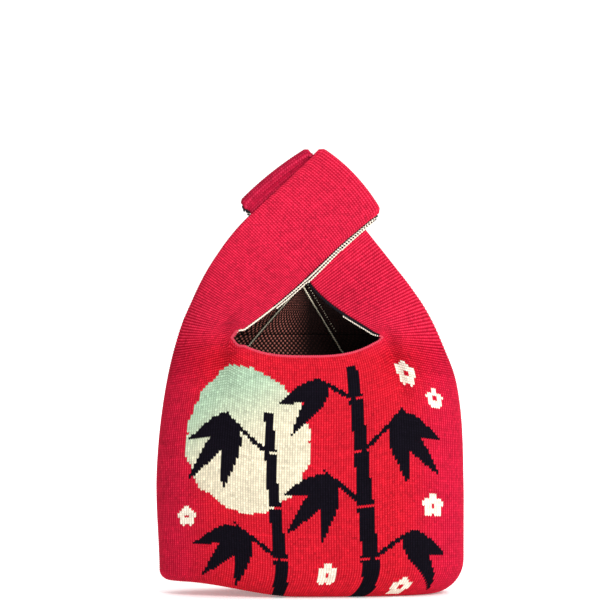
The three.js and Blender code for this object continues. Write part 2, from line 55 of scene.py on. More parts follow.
MM = 0.001  # lengths below are in millimetres, and meshes in metres
SEED = 41  # for all that is uneven in the knit
STITCH = 2  # mesh rows and columns to a stitch: its ridge and the hollow beside it
RING_POINTS, EDGE_POINTS = 4001, 801  # points that a section and a strap's edge are measured with
BEAD_SIDES, BEAD_RINGS, CORD_SIDES = 7, 5, 8  # mesh detail of a yarn stitch and of a cord
RIGHT, UP = (1.0, 0.0, 0.0), (0.0, 0.0, 1.0)
WHITE, BLACK = (1, 1, 1, 1), (0, 0, 0, 1)


class Side(Enum):
    """Which half of the bag a piece belongs to, as the sign of its depth."""

    FRONT = -1
    BACK = 1

    @property
    def word(self) -> str:
        """The side as the names of pieces hold it."""
        return self.name.lower()


class Hand(IntEnum):
    """Which loop, seam or corner, as the sign of its place across the bag."""

    LEFT = -1
    RIGHT = 1


class Rim(IntEnum):
    """Which long edge of a strap, as the sign of its place from the middle of the strap outwards."""

    OUTER = 1
    INNER = -1


class Yarn(Enum):
    """Colours that the yarns are dyed in, two of them darkened as painted shade, as sRGB hex values."""

    SCARLET = "#CE112C"  # middle of the panels
    RUBY = "#C70E3B"  # painted shade: a darker red for the sides of the panels, which turn away from the light
    CRIMSON = "#DB244A"  # straps
    ROSE = "#C41F47"  # painted shade: a darker red for the pull loop, which lies back behind the band
    PETAL = "#D84258"  # rolled edge of the mouth
    BLACK = "#15111B"
    CREAM = "#E6DCC2"
    SAGE = "#AFC9AE"
    IVORY = "#F6EAD8"
    UMBER = "#1C0D0C"  # dark yarn of the reverse and the seams
    TAN = "#E88D7E"  # dots of the reverse

    @property
    def colour(self) -> np.ndarray:
        """The linear colour."""
        return linear(self.value)


def linear(shade: str) -> np.ndarray:
    """Turns an sRGB hex value into a linear colour."""
    value = np.array([int(shade[k : k + 2], 16) for k in (1, 3, 5)]) / 255
    return np.where(value <= 0.04045, value / 12.92, ((value + 0.055) / 1.055) ** 2.4)


def mix(a: np.ndarray, b: np.ndarray, t: np.ndarray) -> np.ndarray:
    """Goes from a to b as t goes from 0 to 1."""
    return a + (b - a) * t


def ramp(value: np.ndarray, start: float, end: float) -> np.ndarray:
    """Eases from 0 at the start to 1 at the end, flat outside."""
    t = np.clip((value - start) / (end - start), 0, 1)
    return t * t * (3 - 2 * t)


def unit(vectors: np.ndarray) -> np.ndarray:
    """Vectors along the last axis, made one long."""
    return vectors / np.maximum(np.linalg.norm(vectors, axis=-1, keepdims=True), 1e-9)


def heading(degrees: float) -> np.ndarray:
    """A direction in the front view, as X and Z."""
    return np.array([math.cos(math.radians(degrees)), math.sin(math.radians(degrees))])


def outward_normals(points: np.ndarray, side: Side) -> tuple[np.ndarray, bool]:
    """Normals of a surface that face out of the bag.

    Args:
        points: Points by row and column.
        side: Half of the bag that the surface belongs to.

    Returns:
        The normals, and whether they had to be turned round.
    """
    normals = unit(np.cross(np.gradient(points, axis=1), np.gradient(points, axis=0)))
    turned = bool(normals[len(normals) // 2 :, :, 1].mean() * side.value < 0)
    return (-normals if turned else normals), turned


def link_object(name: str, data: bpy.types.ID) -> bpy.types.Object:
    """Adds an object to the scene, at the origin.

    Args:
        name: Name of the object.
        data: Its mesh, light or camera.

    Returns:
        The object.
    """
    made = bpy.data.objects.new(name, data)
    bpy.context.scene.collection.objects.link(made)
    return made


def plug(node: bpy.types.Node, inputs: dict) -> None:
    """Sets a node's inputs.

    Args:
        node: The node.
        inputs: By name or index: a value, a socket to link from, or a node whose first output is linked.
    """
    for key, value in inputs.items():
        if isinstance(value, bpy.types.Node):
            value = value.outputs[0]
        if isinstance(value, bpy.types.NodeSocket):
            node.id_data.links.new(value, node.inputs[key])
        else:
            node.inputs[key].default_value = value


def add_node(
    tree: bpy.types.NodeTree, kind: str, inputs: Optional[dict] = None, **settings: object
) -> bpy.types.Node:
    """Adds a node with its settings and links.

    Args:
        tree: Tree that takes the node.
        kind: Blender's name for the node type.
        inputs: What is plugged into it.
        settings: Properties of the node.

    Returns:
        The node.
    """
    made = tree.nodes.new(kind)
    for key, value in settings.items():
        setattr(made, key, value)
    plug(made, inputs or {})
    return made


def new_material(name: str) -> tuple[bpy.types.Material, bpy.types.NodeTree, bpy.types.Node]:
    """Starts a material.

    Args:
        name: What the real material is.

    Returns:
        The material, its tree and its shader.
    """
    material = bpy.data.materials.new(name)
    material.use_nodes = True
    return material, material.node_tree, material.node_tree.nodes["Principled BSDF"]


@dataclass(frozen=True, kw_only=True)
class Finish:
    """A matte finish with a fine relief."""

    name: str
    roughness: float = 0.95
    specular: float = 0.05
    relief: float = 0.15  # height of loose fibres or stitches
    strength: float = 0.7  # how strongly they shade

    def dress(
        self, shader: bpy.types.Node, colour: bpy.types.Node | bpy.types.NodeSocket, height: bpy.types.Node
    ) -> None:
        """Plugs a colour and a relief into a shader.

        Args:
            shader: The material's shader.
            colour: What gives its colour.
            height: What gives the height of its relief.
        """
        raised = {"Height": height, "Distance": self.relief * MM, "Strength": self.strength}
        bump = add_node(shader.id_data, "ShaderNodeBump", raised)
        plug(shader, {"Base Color": colour, "Normal": bump})
        plug(shader, {"Roughness": self.roughness, "Specular IOR Level": self.specular})


@dataclass(frozen=True, kw_only=True)
class KnitFace(Finish):
    """Face of a double-bed jacquard in soft-spun cotton.

    It gives the eye matte V stitches with painted shade between their legs and a painted highlight on their
    tops, in unevenly dyed yarn.
    """

    name: str = "jacquard_cotton_knit_face"
    lit: float = 1.12  # tone on top of a stitch
    shaded: float = 0.42  # tone between stitches
    deep: float = 1.25  # gamma between stitches, where light passes from yarn to yarn
    halo: float = 0.036  # pale light that loose fibres catch on top of a stitch
    halo_end: float = 0.6  # hollow where they catch none
    dye: float = 14.0  # run of uneven dye
    swing: tuple[float, float] = (0.25, 0.75)  # noise values that the dye's tones run between
    uneven: float = 0.06  # how far those tones go either way
    fibre: float = 0.45  # spacing of loose fibres, coarser than real ones so that they show

    def build(self) -> bpy.types.Material:
        """Makes the material.

        Returns:
            The material, which reads the yarn colours and the hollows of its piece.
        """
        material, tree, shader = new_material(self.name)
        yarn = add_node(tree, "ShaderNodeAttribute", attribute_name="yarn")
        hollow = add_node(tree, "ShaderNodeAttribute", attribute_name="hollow").outputs["Fac"]
        place = add_node(tree, "ShaderNodeTexCoord").outputs["Object"]
        fibre, dye = (
            add_node(tree, "ShaderNodeTexNoise", {"Vector": place, "Scale": 1 / (run * MM), "Detail": detail})
            for run, detail in ((self.fibre, 2.0), (self.dye, 3.0))
        )
        shade, depth, caught = (
            add_node(tree, "ShaderNodeMapRange", {0: hollow, 2: end, 3: top, 4: bottom})
            for end, top, bottom in (
                (1.0, self.lit, self.shaded),
                (1.0, 1.0, self.deep),
                (self.halo_end, self.halo, 0.0),
            )
        )
        low, high = self.swing
        tones = {0: dye, 1: low, 2: high, 3: 1 - self.uneven, 4: 1 + self.uneven}
        uneven = add_node(tree, "ShaderNodeMapRange", tones)
        tone = add_node(tree, "ShaderNodeMath", {0: shade, 1: uneven}, operation="MULTIPLY")
        richer = add_node(tree, "ShaderNodeGamma", {0: yarn, 1: depth})
        colour = add_node(tree, "ShaderNodeVectorMath", {0: richer, "Scale": tone}, operation="SCALE")
        strength = add_node(tree, "ShaderNodeVectorMath", {0: yarn}, operation="LENGTH").outputs["Value"]
        halo = add_node(tree, "ShaderNodeMath", {0: strength, 1: caught}, operation="MULTIPLY")
        haloed = add_node(tree, "ShaderNodeVectorMath", {0: colour, 1: halo}, operation="ADD")
        self.dress(shader, haloed, fibre)
        return material


@dataclass(frozen=True, kw_only=True)
class KnitReverse(Finish):
    """Birdseye reverse of the jacquard: dark yarn with a dot of the other yarns at every second stitch."""

    name: str = "jacquard_cotton_knit_birdseye_reverse"
    specular: float = 0.2
    relief: float = 0.4
    strength: float = 0.8
    pale_from: float = 0.0  # painted light: the dots grow paler from this place across
    pale_to: float = -20.0  # to this one, on the lit left of the inside
    dull: float = 0.03  # share of the pale yarn in the dots elsewhere, painted shade

    def build(self) -> bpy.types.Material:
        """Makes the material.

        Returns:
            The material, which reads the stitch map of its piece.
        """
        material, tree, shader = new_material(self.name)
        place = add_node(tree, "ShaderNodeUVMap", uv_map="stitch")
        squares = {"Vector": place, "Color1": WHITE, "Color2": BLACK, "Scale": 1.0}
        checks = add_node(tree, "ShaderNodeTexChecker", squares).outputs[1]
        split = add_node(tree, "ShaderNodeSeparateXYZ", {0: place})
        waves = {}
        for key in (0, 1):
            turn = add_node(tree, "ShaderNodeMath", {0: split.outputs[key], 1: math.pi}, operation="MULTIPLY")
            wave = add_node(tree, "ShaderNodeMath", {0: turn}, operation="SINE")
            waves[key] = add_node(tree, "ShaderNodeMath", {0: wave}, operation="ABSOLUTE")
        bead = add_node(tree, "ShaderNodeMath", waves, operation="MULTIPLY")
        dot = add_node(tree, "ShaderNodeMath", {0: bead, 1: checks}, operation="MULTIPLY")
        # painted light: the dots are pale on the lit left of the inside and dull, as painted shade, elsewhere
        in_object = add_node(tree, "ShaderNodeTexCoord").outputs["Object"]
        across = add_node(tree, "ShaderNodeSeparateXYZ", {0: in_object}).outputs["X"]
        fade = {0: across, 1: self.pale_from * MM, 2: self.pale_to * MM, 3: self.dull, 4: 1.0}
        pale = add_node(tree, "ShaderNodeMapRange", fade)
        share = add_node(tree, "ShaderNodeMath", {0: dot, 1: pale}, operation="MULTIPLY")
        yarns = {"Factor": share, 6: (*Yarn.UMBER.colour, 1), 7: (*Yarn.TAN.colour, 1)}
        self.dress(shader, add_node(tree, "ShaderNodeMix", yarns, data_type="RGBA").outputs[2], bead)
        return material


@dataclass(frozen=True, kw_only=True)
class SpunYarn(Finish):
    """Soft-spun yarn of a seam or selvedge: matte, with a slightly uneven colour and loose fibres."""

    yarn: Yarn
    roughness: float = 0.9
    specular: float = 0.25
    relief: float = 0.2
    strength: float = 0.6
    fibre: float = 0.5  # spacing of loose fibres, coarser than real ones so that they show
    swing: tuple[float, float] = (0.2, 0.8)  # noise values that its tones run between
    uneven: float = 0.25  # share of its colour that varies

    def build(self) -> bpy.types.Material:
        """Makes the material.

        Returns:
            The material, which is laid out on object coordinates.
        """
        material, tree, shader = new_material(self.name)
        place = add_node(tree, "ShaderNodeTexCoord").outputs["Object"]
        fibres = {"Vector": place, "Scale": 1 / (self.fibre * MM), "Detail": 2.0}
        noise = add_node(tree, "ShaderNodeTexNoise", fibres)
        low, high = self.swing
        tone = add_node(tree, "ShaderNodeMapRange", {0: noise, 1: low, 2: high, 3: 1 - self.uneven, 4: 1.0})
        dyed = {0: self.yarn.colour.tolist(), "Scale": tone}
        self.dress(shader, add_node(tree, "ShaderNodeVectorMath", dyed, operation="SCALE"), noise)
        return material


@dataclass(frozen=True)
class Gauge:
    """Stitch sizes of the knit, and how its layers lie."""

    wale: float = 2.0
    course: float = 1.7
    relief: float = 0.55  # depth of the hollows between stitches
    course_hollow: tuple[float, float] = (0.4, 1.0)  # share of it between courses, slack and stretched
    wale_hollow: tuple[float, float] = (0.65, 0.4)  # and between wales
    edge_run: float = 1.6  # a free edge is rounded over this many times the depth of its round
    thickness: float = 2.7
    cloth: float = 3.0  # thickness of the solid that it stands for
    gap: float = 0.4  # between layers
    inner_layer: float = 1.7  # from the middle of the bag to the middle of the right loop's cloth
    outer_layer: float = 5.1  # and of the left loop's, which lies round it


GAUGE = Gauge()
LEAF_POINT = 0.65  # below 1, so that a leaf is widest near its root


def leaf(
    u: np.ndarray, v: np.ndarray, root: Sequence[float], turn: float, length: float, width: float, bend: float
) -> np.ndarray:
    """Stitches inside a pointed leaf.

    Args:
        u: Place of each stitch across the panel.
        v: Height of each stitch on the panel.
        root: Where the leaf starts.
        turn: Its direction, in degrees.
        length: Its length.
        width: Its greatest width.
        bend: How far its tip droops to one side.

    Returns:
        A mask of the stitches.
    """
    along, aside = heading(turn), heading(turn + 90)
    a = ((u - root[0]) * along[0] + (v - root[1]) * along[1]) / length
    b = (u - root[0]) * aside[0] + (v - root[1]) * aside[1] - bend * np.clip(a, 0, 1) ** 2
    half = width / 2 * np.sin(np.pi * np.clip(a, 0, 1) ** LEAF_POINT)
    return (a > 0) & (a < 1) & (np.abs(b) < half)


@dataclass(frozen=True)
class BambooDesign:
    """A plain jacquard figure: bamboo in black before a pale moon, with small cream blossoms."""

    moon: tuple[float, float, float] = (-50.0, 117.0, 50.0)  # across, height and radius
    brush: float = 1.3  # unevenness of the moon's rim
    brush_runs: tuple[float, float] = (2.3, 7.7)  # of its two waves, which don't repeat over the moon
    wash: tuple[float, float] = (-10.0, 50.0)  # the moon goes from cream to sage between these heights on it
    wash_lean: float = 0.6  # and sooner to the left
    stalks: tuple[tuple[float, float, float, float, float], ...] = (
        (50.0, -4.0, 34.0, 172.0, 14.0),  # foot, top and width
        (-20.0, -4.0, -34.0, 140.0, 11.0),
    )
    taper: float = 0.35  # share of its width that a stalk loses up to its top
    joint: float = 38.0  # length of a stalk between its joints
    joint_swell: float = 0.22  # share that it widens by at a joint
    joint_reach: float = 4.0  # how far from a joint
    joint_line: float = 1.6  # width of the red line across it
    twigs: tuple[tuple[float, float, float, float, tuple[tuple[float, float], ...]], ...] = (
        (40.0, 110.0, 64.0, 127.0, ((-8.0, 42.0), (-38.0, 54.0), (-68.0, 46.0))),  # root, tip, and its leaves
        (43.0, 72.0, 20.0, 92.0, ((188.0, 44.0), (220.0, 56.0), (250.0, 46.0))),
        (36.0, 148.0, 14.0, 160.0, ((192.0, 44.0), (224.0, 46.0))),
        (-31.0, 110.0, -58.0, 126.0, ((188.0, 42.0), (220.0, 56.0), (252.0, 48.0))),
        (-24.0, 34.0, -50.0, 52.0, ((190.0, 46.0), (222.0, 54.0), (254.0, 44.0))),
        (46.0, 34.0, 72.0, 48.0, ((-12.0, 38.0), (-44.0, 50.0))),
    )
    twig_width: float = 3.6
    twig_overrun: float = 1.5  # a twig's point lies this many times as far as its tip
    leaf_width: float = 14.0
    leaf_droop: float = 5.0
    blossoms: tuple[tuple[float, float, float], ...] = (
        (80.0, 158.0, 8.5),  # across, height and radius
        (102.0, 144.0, 7.0),
        (97.0, 70.0, 8.5),
        (76.0, 13.0, 7.5),
        (13.0, 24.0, 8.0),
        (-98.0, 62.0, 7.5),
    )
    petals: int = 5
    petal_out: float = 0.62  # a petal's middle, its radius and the heart, as shares of the blossom's radius
    petal_round: float = 0.42
    heart: float = 0.22

    def paint(self, u: np.ndarray, v: np.ndarray, ground: np.ndarray) -> np.ndarray:
        """Lays the figure over the ground colour.

        Args:
            u: Place of each stitch across the panel, 0 in the middle.
            v: Height of each stitch over the base.
            ground: Linear colour of each stitch.

        Returns:
            The linear colours with the figure.
        """
        x, z, radius = self.moon
        short, long = self.brush_runs
        rim = self.brush * np.sin(v / short) * np.sin(v / long + 1)
        disc = np.hypot(u - x, v - z) < radius + rim
        wash = ramp(v - z + self.wash_lean * (x - u), *self.wash)[..., None]
        colours = np.where(disc[..., None], mix(Yarn.CREAM.colour, Yarn.SAGE.colour, wash), ground)
        colours = np.where(self.bamboo(u, v)[..., None], Yarn.BLACK.colour, colours)
        return np.where(self.flowers(u, v)[..., None], Yarn.IVORY.colour, colours)

    def bamboo(self, u: np.ndarray, v: np.ndarray) -> np.ndarray:
        """Finds the stitches in the stalks, twigs and leaves.

        Args:
            u: Place of each stitch across the panel.
            v: Height of each stitch over the base.

        Returns:
            A mask of the stitches.
        """
        black = np.zeros(u.shape, bool)
        for foot_u, foot_v, top_u, top_v, width in self.stalks:
            t = (v - foot_v) / (top_v - foot_v)
            rise = np.mod(v - foot_v, self.joint)
            near = np.minimum(rise, self.joint - rise) / self.joint_reach
            wide = width * (1 + self.joint_swell * np.exp(-(near**2))) * (1 - self.taper * np.clip(t, 0, 1))
            inside = np.abs(u - mix(foot_u, top_u, t)) < wide / 2
            black |= inside & (t > 0) & (t < 1) & (rise > self.joint_line)
        for root_u, root_v, tip_u, tip_v, leaves in self.twigs:
            turn = math.degrees(math.atan2(tip_v - root_v, tip_u - root_u))
            length = self.twig_overrun * math.hypot(tip_u - root_u, tip_v - root_v)
            black |= leaf(u, v, (root_u, root_v), turn, length, self.twig_width, 0)
            droop = -self.leaf_droop * np.sign(tip_u - root_u)
            for turn, length in leaves:
                black |= leaf(u, v, (tip_u, tip_v), turn, length, self.leaf_width, droop)
        return black

    def flowers(self, u: np.ndarray, v: np.ndarray) -> np.ndarray:
        """Finds the stitches in the petals of the blossoms.

        Args:
            u: Place of each stitch across the panel.
            v: Height of each stitch over the base.

        Returns:
            A mask of the stitches.
        """
        ivory = np.zeros(u.shape, bool)
        for x, z, radius in self.blossoms:
            clear = np.hypot(u - x, v - z) > radius * self.heart
            for k in range(self.petals):
                out = heading(90 + 360 / self.petals * k) * radius * self.petal_out
                ivory |= clear & (np.hypot(u - x - out[0], v - z - out[1]) < radius * self.petal_round)
        return ivory


STITCH_DYE, COURSE_DYE, WALE_DYE = 0.08, 0.025, 0.02  # how far the tones of stitches, courses and wales vary
PANEL_SALT, STRIP_SALT, PULL_SALT = 1, 2, 9  # for the panels, the first strip on each and the pull loop


def dyed(colours: np.ndarray, salt: int) -> np.ndarray:
    """Varies each stitch's colour a little.

    Args:
        colours: Linear colours by course and wale.
        salt: Makes the variation of each kind of piece its own.

    Returns:
        The varied colours.
    """
    rng = np.random.default_rng(SEED + salt)
    rows, wales = colours.shape[:2]
    stitch = rng.normal(1, STITCH_DYE, (rows, wales, 1))
    streak = rng.normal(1, COURSE_DYE, (rows, 1, 1)) * rng.normal(1, WALE_DYE, (1, wales, 1))
    return np.clip(colours * stitch * streak, 0, 1)


def quads(numbers: np.ndarray) -> np.ndarray:
    """Faces of a grid of numbered points."""
    corners = [numbers[:-1, :-1], numbers[:-1, 1:], numbers[1:, 1:], numbers[1:, :-1]]
    return np.stack(corners, -1).reshape(-1, 4)


# A sheet's flat map: its margin and width, and the bottom and height of the face, the reverse and each rim
MAP_MARGIN, MAP_WIDTH = 0.01, 0.98
FACE_MAP, REVERSE_MAP = (0.01, 0.62), (0.66, 0.28)
RIM_MAP = tuple((0.95 + 0.012 * level, 0.009) for level in range(4))


@dataclass
class KnitSheet:
    """A knitted piece laid out on its stitches: rows follow the courses and columns the wales."""

    name: str
    side: Side
    skin: np.ndarray  # face side by row and column
    yarn: np.ndarray  # linear colour by course and wale
    stretch: float | np.ndarray  # 0 where gaps open between wales, 1 where they open between courses
    follow: Optional[np.ndarray] = None  # the row after the last one, where another piece goes on
    rounded: float = 0.9  # how far the faces fall away at free edges

    def __post_init__(self) -> None:
        """Finds the face's normals and raises the stitches."""
        self.normals, self.turned = outward_normals(self.skin, self.side)
        self.hollow = self.hollows()
        follow = self.skin[-1:] if self.follow is None else self.follow[None]
        upper = np.concatenate([self.skin[1:], follow])
        beside = (np.arange(self.skin.shape[1]) % STITCH == 0)[None, :, None]
        lean = beside * (1 - np.broadcast_to(self.stretch, self.skin.shape[:2]))[..., None]
        sink = GAUGE.relief * self.hollow[..., None] + self.fall()
        self.raised = mix(self.skin, upper, lean) - self.normals * sink

    def hollows(self) -> np.ndarray:
        """Finds the hollows between the stitches.

        Returns:
            How deep each point lies in them, from 0 to 1.
        """
        rows, columns = self.skin.shape[:2]
        between_courses = (np.arange(rows) % STITCH == 0)[:, None] * mix(*GAUGE.course_hollow, self.stretch)
        between_wales = (np.arange(columns) % STITCH == 0)[None] * mix(*GAUGE.wale_hollow, self.stretch)
        return np.maximum(between_courses, between_wales)

    def fall(self) -> np.ndarray:
        """Rounds the cloth off along its two long edges.

        Returns:
            How far both faces have fallen away at each point.
        """
        across = np.cumsum(np.linalg.norm(np.gradient(self.skin, axis=1), axis=2), axis=1)
        edge = np.minimum(across - across[:, :1], across[:, -1:] - across)
        near = np.clip(1 - edge / (GAUGE.edge_run * self.rounded), 0, 1)
        return (self.rounded * (1 - np.sqrt(1 - near**2)))[..., None]

    def build(self, face: bpy.types.Material, reverse: bpy.types.Material) -> bpy.types.Object:
        """Makes the closed sheet: raised stitches outside, a plain reverse inside and rims round it.

        Args:
            face: Material of the face side and the rims.
            reverse: Material of the inside.

        Returns:
            The piece, at the origin.
        """
        rows, columns = self.skin.shape[:2]
        every = np.s_[::STITCH, ::STITCH]
        back = (self.skin - self.normals * (GAUGE.thickness - self.fall()))[every]
        points = np.concatenate([self.raised.reshape(-1, 3), back.reshape(-1, 3)]) * MM
        outer = np.arange(rows * columns).reshape(rows, columns)
        inner = outer.size + np.arange(back[..., 0].size).reshape(back.shape[:2])
        hollow = np.concatenate([self.hollow.ravel(), np.zeros(inner.size)])
        face_quads, back_quads = quads(outer), quads(inner)[:, ::-1]
        rims, rim_map = self.rims(outer, inner)
        corners = np.concatenate([face_quads.ravel(), back_quads.ravel(), np.concatenate(rims)])
        grid = np.stack(np.mgrid[0:rows, 0:columns][::-1], -1)
        stitch = np.concatenate([grid.reshape(-1, 2), grid[every].reshape(-1, 2)]) / STITCH
        share = grid / (columns - 1, rows - 1)
        flat = np.concatenate(
            [
                (part * (MAP_WIDTH, height) + (MAP_MARGIN, low)).reshape(-1, 2)
                for part, (low, height) in ((share, FACE_MAP), (share[every], REVERSE_MAP))
            ]
        )
        flat = np.concatenate([flat[corners[: face_quads.size + back_quads.size]], rim_map])
        yarn = np.repeat(np.repeat(self.yarn, STITCH, axis=0), STITCH, axis=1).reshape(-1, 3)
        colour = np.empty((len(corners), 4), np.float32)
        colour[:] = (*np.median(yarn, axis=0), 1)
        colour[: face_quads.size, :3] = np.repeat(yarn, 4, axis=0)
        mesh = bpy.data.meshes.new(self.name)
        mesh.from_pydata(points.tolist(), [], face_quads.tolist() + back_quads.tolist() + rims)
        for layer, places in (("stitch", stitch[corners]), ("OFBake", flat)):
            mesh.uv_layers.new(name=layer).data.foreach_set("uv", places.astype(np.float32).ravel())
        mesh.color_attributes.new("yarn", "FLOAT_COLOR", "CORNER").data.foreach_set("color", colour.ravel())
        mesh.attributes.new("hollow", "FLOAT", "POINT").data.foreach_set("value", hollow.astype(np.float32))
        mesh.materials.append(face)
        mesh.materials.append(reverse)
        kind = np.repeat([0, 1, 2], [len(face_quads), len(back_quads), len(rims)])
        mesh.polygons.foreach_set("material_index", (kind == 1).astype(np.int32))
        mesh.polygons.foreach_set("use_smooth", kind < 2)
        if self.turned:
            mesh.flip_normals()
        mesh.update()
        return link_object(self.name, mesh)

    @staticmethod
    def rims(outer: np.ndarray, inner: np.ndarray) -> tuple[list[list[int]], np.ndarray]:
        """Closes the sheet along its four edges.

        Args:
            outer: Numbers of the points of the face.
            inner: Numbers of the points of the reverse.

        Returns:
            A face for each stitch along the edges, and a place on the flat map for each of their corners.
        """
        faces, places = [], []
        sides = (
            (outer[0, ::-1], inner[0, ::-1]),
            (outer[-1], inner[-1]),
            (outer[:, 0], inner[:, 0]),
            (outer[::-1, -1], inner[::-1, -1]),
        )
        for (low, height), (near, far) in zip(RIM_MAP, sides):
            for j in range(len(far) - 1):
                start = j * STITCH
                faces.append([*near[start : start + STITCH + 1].tolist(), int(far[j + 1]), int(far[j])])
                left, right = (MAP_MARGIN + MAP_WIDTH * k / (len(far) - 1) for k in (j, j + 1))
                places += [(x, low) for x in np.linspace(left, right, STITCH + 1)]
                places += [(right, low + height), (left, low + height)]
        return faces, np.array(places)

    def edge(self, column: int) -> tuple[np.ndarray, np.ndarray, np.ndarray]:
        """A long edge of the sheet.

        Args:
            column: 0 for the first edge, -1 for the last.

        Returns:
            Points half way through the cloth, directions out of the face, and directions away from the sheet.
        """
        normals = self.normals[:, column]
        beside = self.skin[:, column] - self.skin[:, STITCH if column == 0 else -1 - STITCH]
        away = unit(beside - normals * (beside * normals).sum(1, keepdims=True))
        return self.skin[:, column] - normals * GAUGE.thickness / 2, normals, away


@dataclass(frozen=True)
class Pouch:
    """The pouch: its sections from the turned-under base to the shoulders."""

    width: float = 231.6
    depth: float = 88.0
    belly_z: float = 72.0
    base_depth: float = 78.0
    base_corner: float = 26.0  # round of the right base corner
    left_corner: float = 8.0
    left_lean: float = 2.5  # how far the left side runs in down to the base
    lean_z: float = 90.0
    base_roll: float = 13.0  # round where the panels turn under
    base_lift: float = 10.0  # height of the left end of the base, which curls off the floor
    lift_start: float = 10.0
    lift_run: float = 84.0
    lift_fade_z: float = 70.0
    shoulder_z: float = 195.0
    shoulder_width: float = 193.0
    shoulder_depth: float = 56.0
    shoulder_shift: float = -3.4
    swell: float = 6.0  # of the right side under its shoulder
    swell_from: float = 80.0
    swell_rise: float = 95.0
    swell_end: float = 168.0
    swell_fall: float = 32.0
    power: float = 2.4  # squareness of the sections
    mouth_width: float = 114.0
    mouth_x: float = -2.3
    mouth_z: float = 193.5
    mouth_dip: float = 14.0
    mouth_power: float = 3.0  # squareness of the dip
    armhole_drop: float = 11.5
    wales: int = 138  # in each panel, from side seam to side seam
    wale_z: float = 150.0  # height where they are evenly spaced
    base_courses: int = 20  # from the base seam to the fold
    wall_courses: int = 106  # from the fold to the shoulders
    seam_gap: float = 0.3  # half the space between the two panels
    seam_inset: float = 0.06  # share that the base seam's ends lie further in than the fold
    fit_rounds: int = 12  # how often the columns' ends are fitted to the neckline

    def section(self, z: np.ndarray) -> tuple[np.ndarray, np.ndarray, np.ndarray]:
        """Gives the section of the pouch.

        Args:
            z: Height.

        Returns:
            Half width, half depth and sideways shift at that height.
        """
        up = np.maximum(z - self.belly_z, 0) / (self.shoulder_z - self.belly_z)
        down = np.maximum(self.belly_z - z, 0) / self.belly_z
        left = self.corner_loss(z, self.left_corner) + self.left_lean * (1 - ramp(z, 0, self.lean_z))
        swelling = ramp(z, self.swell_from, self.swell_from + self.swell_rise)
        falling = ramp(z, self.swell_end, self.swell_end + self.swell_fall)
        right = self.corner_loss(z, self.base_corner) - self.swell * swelling * (1 - falling)
        width = (mix(self.width, self.shoulder_width, up**2) - left - right) / 2
        depth = (mix(self.depth, self.shoulder_depth, up**2) - (self.depth - self.base_depth) * down**2) / 2
        shift = self.shoulder_shift * up**2 + (left - right) / 2
        return width, depth - self.corner_loss(z, self.base_roll), shift

    @staticmethod
    def corner_loss(z: np.ndarray, radius: float) -> np.ndarray:
        """Loss of half width at a height above a rounded corner's lowest point."""
        return radius - np.sqrt(radius**2 - np.maximum(radius - z, 0) ** 2)

    def depth_at(self, x: np.ndarray, z: np.ndarray, inset: float) -> np.ndarray:
        """Gives the depth of the pouch at a point of the front view.

        Args:
            x: Place across.
            z: Height.
            inset: How far inside the outer face.

        Returns:
            The half depth.
        """
        width, depth, shift = self.section(z)
        aside = np.minimum(np.abs(x - shift) / (width - inset), 1)
        return (depth - inset) * (1 - aside**self.power) ** (1 / self.power)

    def lift(self, x: np.ndarray, z: np.ndarray) -> np.ndarray:
        """Height that the curled left end of the base adds."""
        along = ramp(-x, self.lift_start, self.lift_start + self.lift_run)
        return self.base_lift * along * (1 - ramp(z, 0, self.lift_fade_z))

    def ring(self, turn: np.ndarray, z: np.ndarray) -> tuple[np.ndarray, np.ndarray]:
        """Goes round the front half of a section.

        Args:
            turn: From 0 at the left seam to pi at the right one.
            z: Height of the section.

        Returns:
            Place across, and half depth.
        """
        width, depth, shift = self.section(z)
        across, out = np.cos(turn), np.abs(np.sin(turn))
        x = shift - np.sign(across) * np.abs(across) ** (2 / self.power) * width
        return x, np.maximum(out ** (2 / self.power) * depth, self.seam_gap)

    def corner_x(self, hand: Hand) -> float:
        """X of a corner of the mouth."""
        return self.mouth_x + hand * self.mouth_width / 2

    def outer_root(self, hand: Hand) -> np.ndarray:
        """Finds where a strap's outer edge leaves the side seam.

        Args:
            hand: Which strap.

        Returns:
            The point half way through the cloth, as X and Z.
        """
        z = self.mouth_z - self.armhole_drop
        width, _, shift = self.section(np.float64(z))
        return np.array([shift + hand * (width - GAUGE.cloth / 2), z])

    def turns(self) -> tuple[np.ndarray, int, int]:
        """Spaces the wales evenly round the section, with whole wales on each side of the mouth.

        Returns:
            The turn of each mesh column, and the columns at the mouth's left and right corners.
        """
        fine = np.linspace(0, np.pi, RING_POINTS)
        x, y = self.ring(fine, np.float64(self.wale_z))
        arc = np.concatenate([[0], np.cumsum(np.hypot(np.diff(x), np.diff(y)))])
        arc /= arc[-1]
        width, _, shift = self.section(np.float64(self.mouth_z))
        shares = []
        for hand in Hand:
            across = (self.corner_x(hand) - shift) / width
            turn = math.acos(-np.sign(across) * abs(across) ** (self.power / 2))
            shares.append(np.interp(turn, fine, arc))
        left, right = (round(share * self.wales) for share in shares)
        wale = np.arange(self.wales * STITCH + 1) / STITCH
        share = np.interp(wale, [0, left, right, self.wales], [0, *shares, 1])
        return np.interp(share, arc, fine), left * STITCH, right * STITCH

    def top(self, turns: np.ndarray, side: Side) -> tuple[np.ndarray, np.ndarray]:
        """Where each column of a panel ends.

        Args:
            turns: Turn of each column.
            side: Front, with the sagging neckline, or back.

        Returns:
            X and height of each column's end.
        """
        z = np.full(turns.shape, self.mouth_z)
        for _ in range(self.fit_rounds):
            x, _ = self.ring(turns, z)
            aside = np.abs(x - self.mouth_x) / (self.mouth_width / 2)
            z = np.full(turns.shape, self.mouth_z)
            if side is Side.FRONT:
                z -= self.mouth_dip * (1 - np.minimum(aside, 1) ** self.mouth_power)
            for hand in Hand:
                root, corner = self.outer_root(hand), self.corner_x(hand)
                slope = self.armhole_drop / (corner - root[0])
                z = np.where(hand * (x - corner) > 0, self.mouth_z + (x - corner) * slope, z)
        return self.ring(turns, z)[0], z

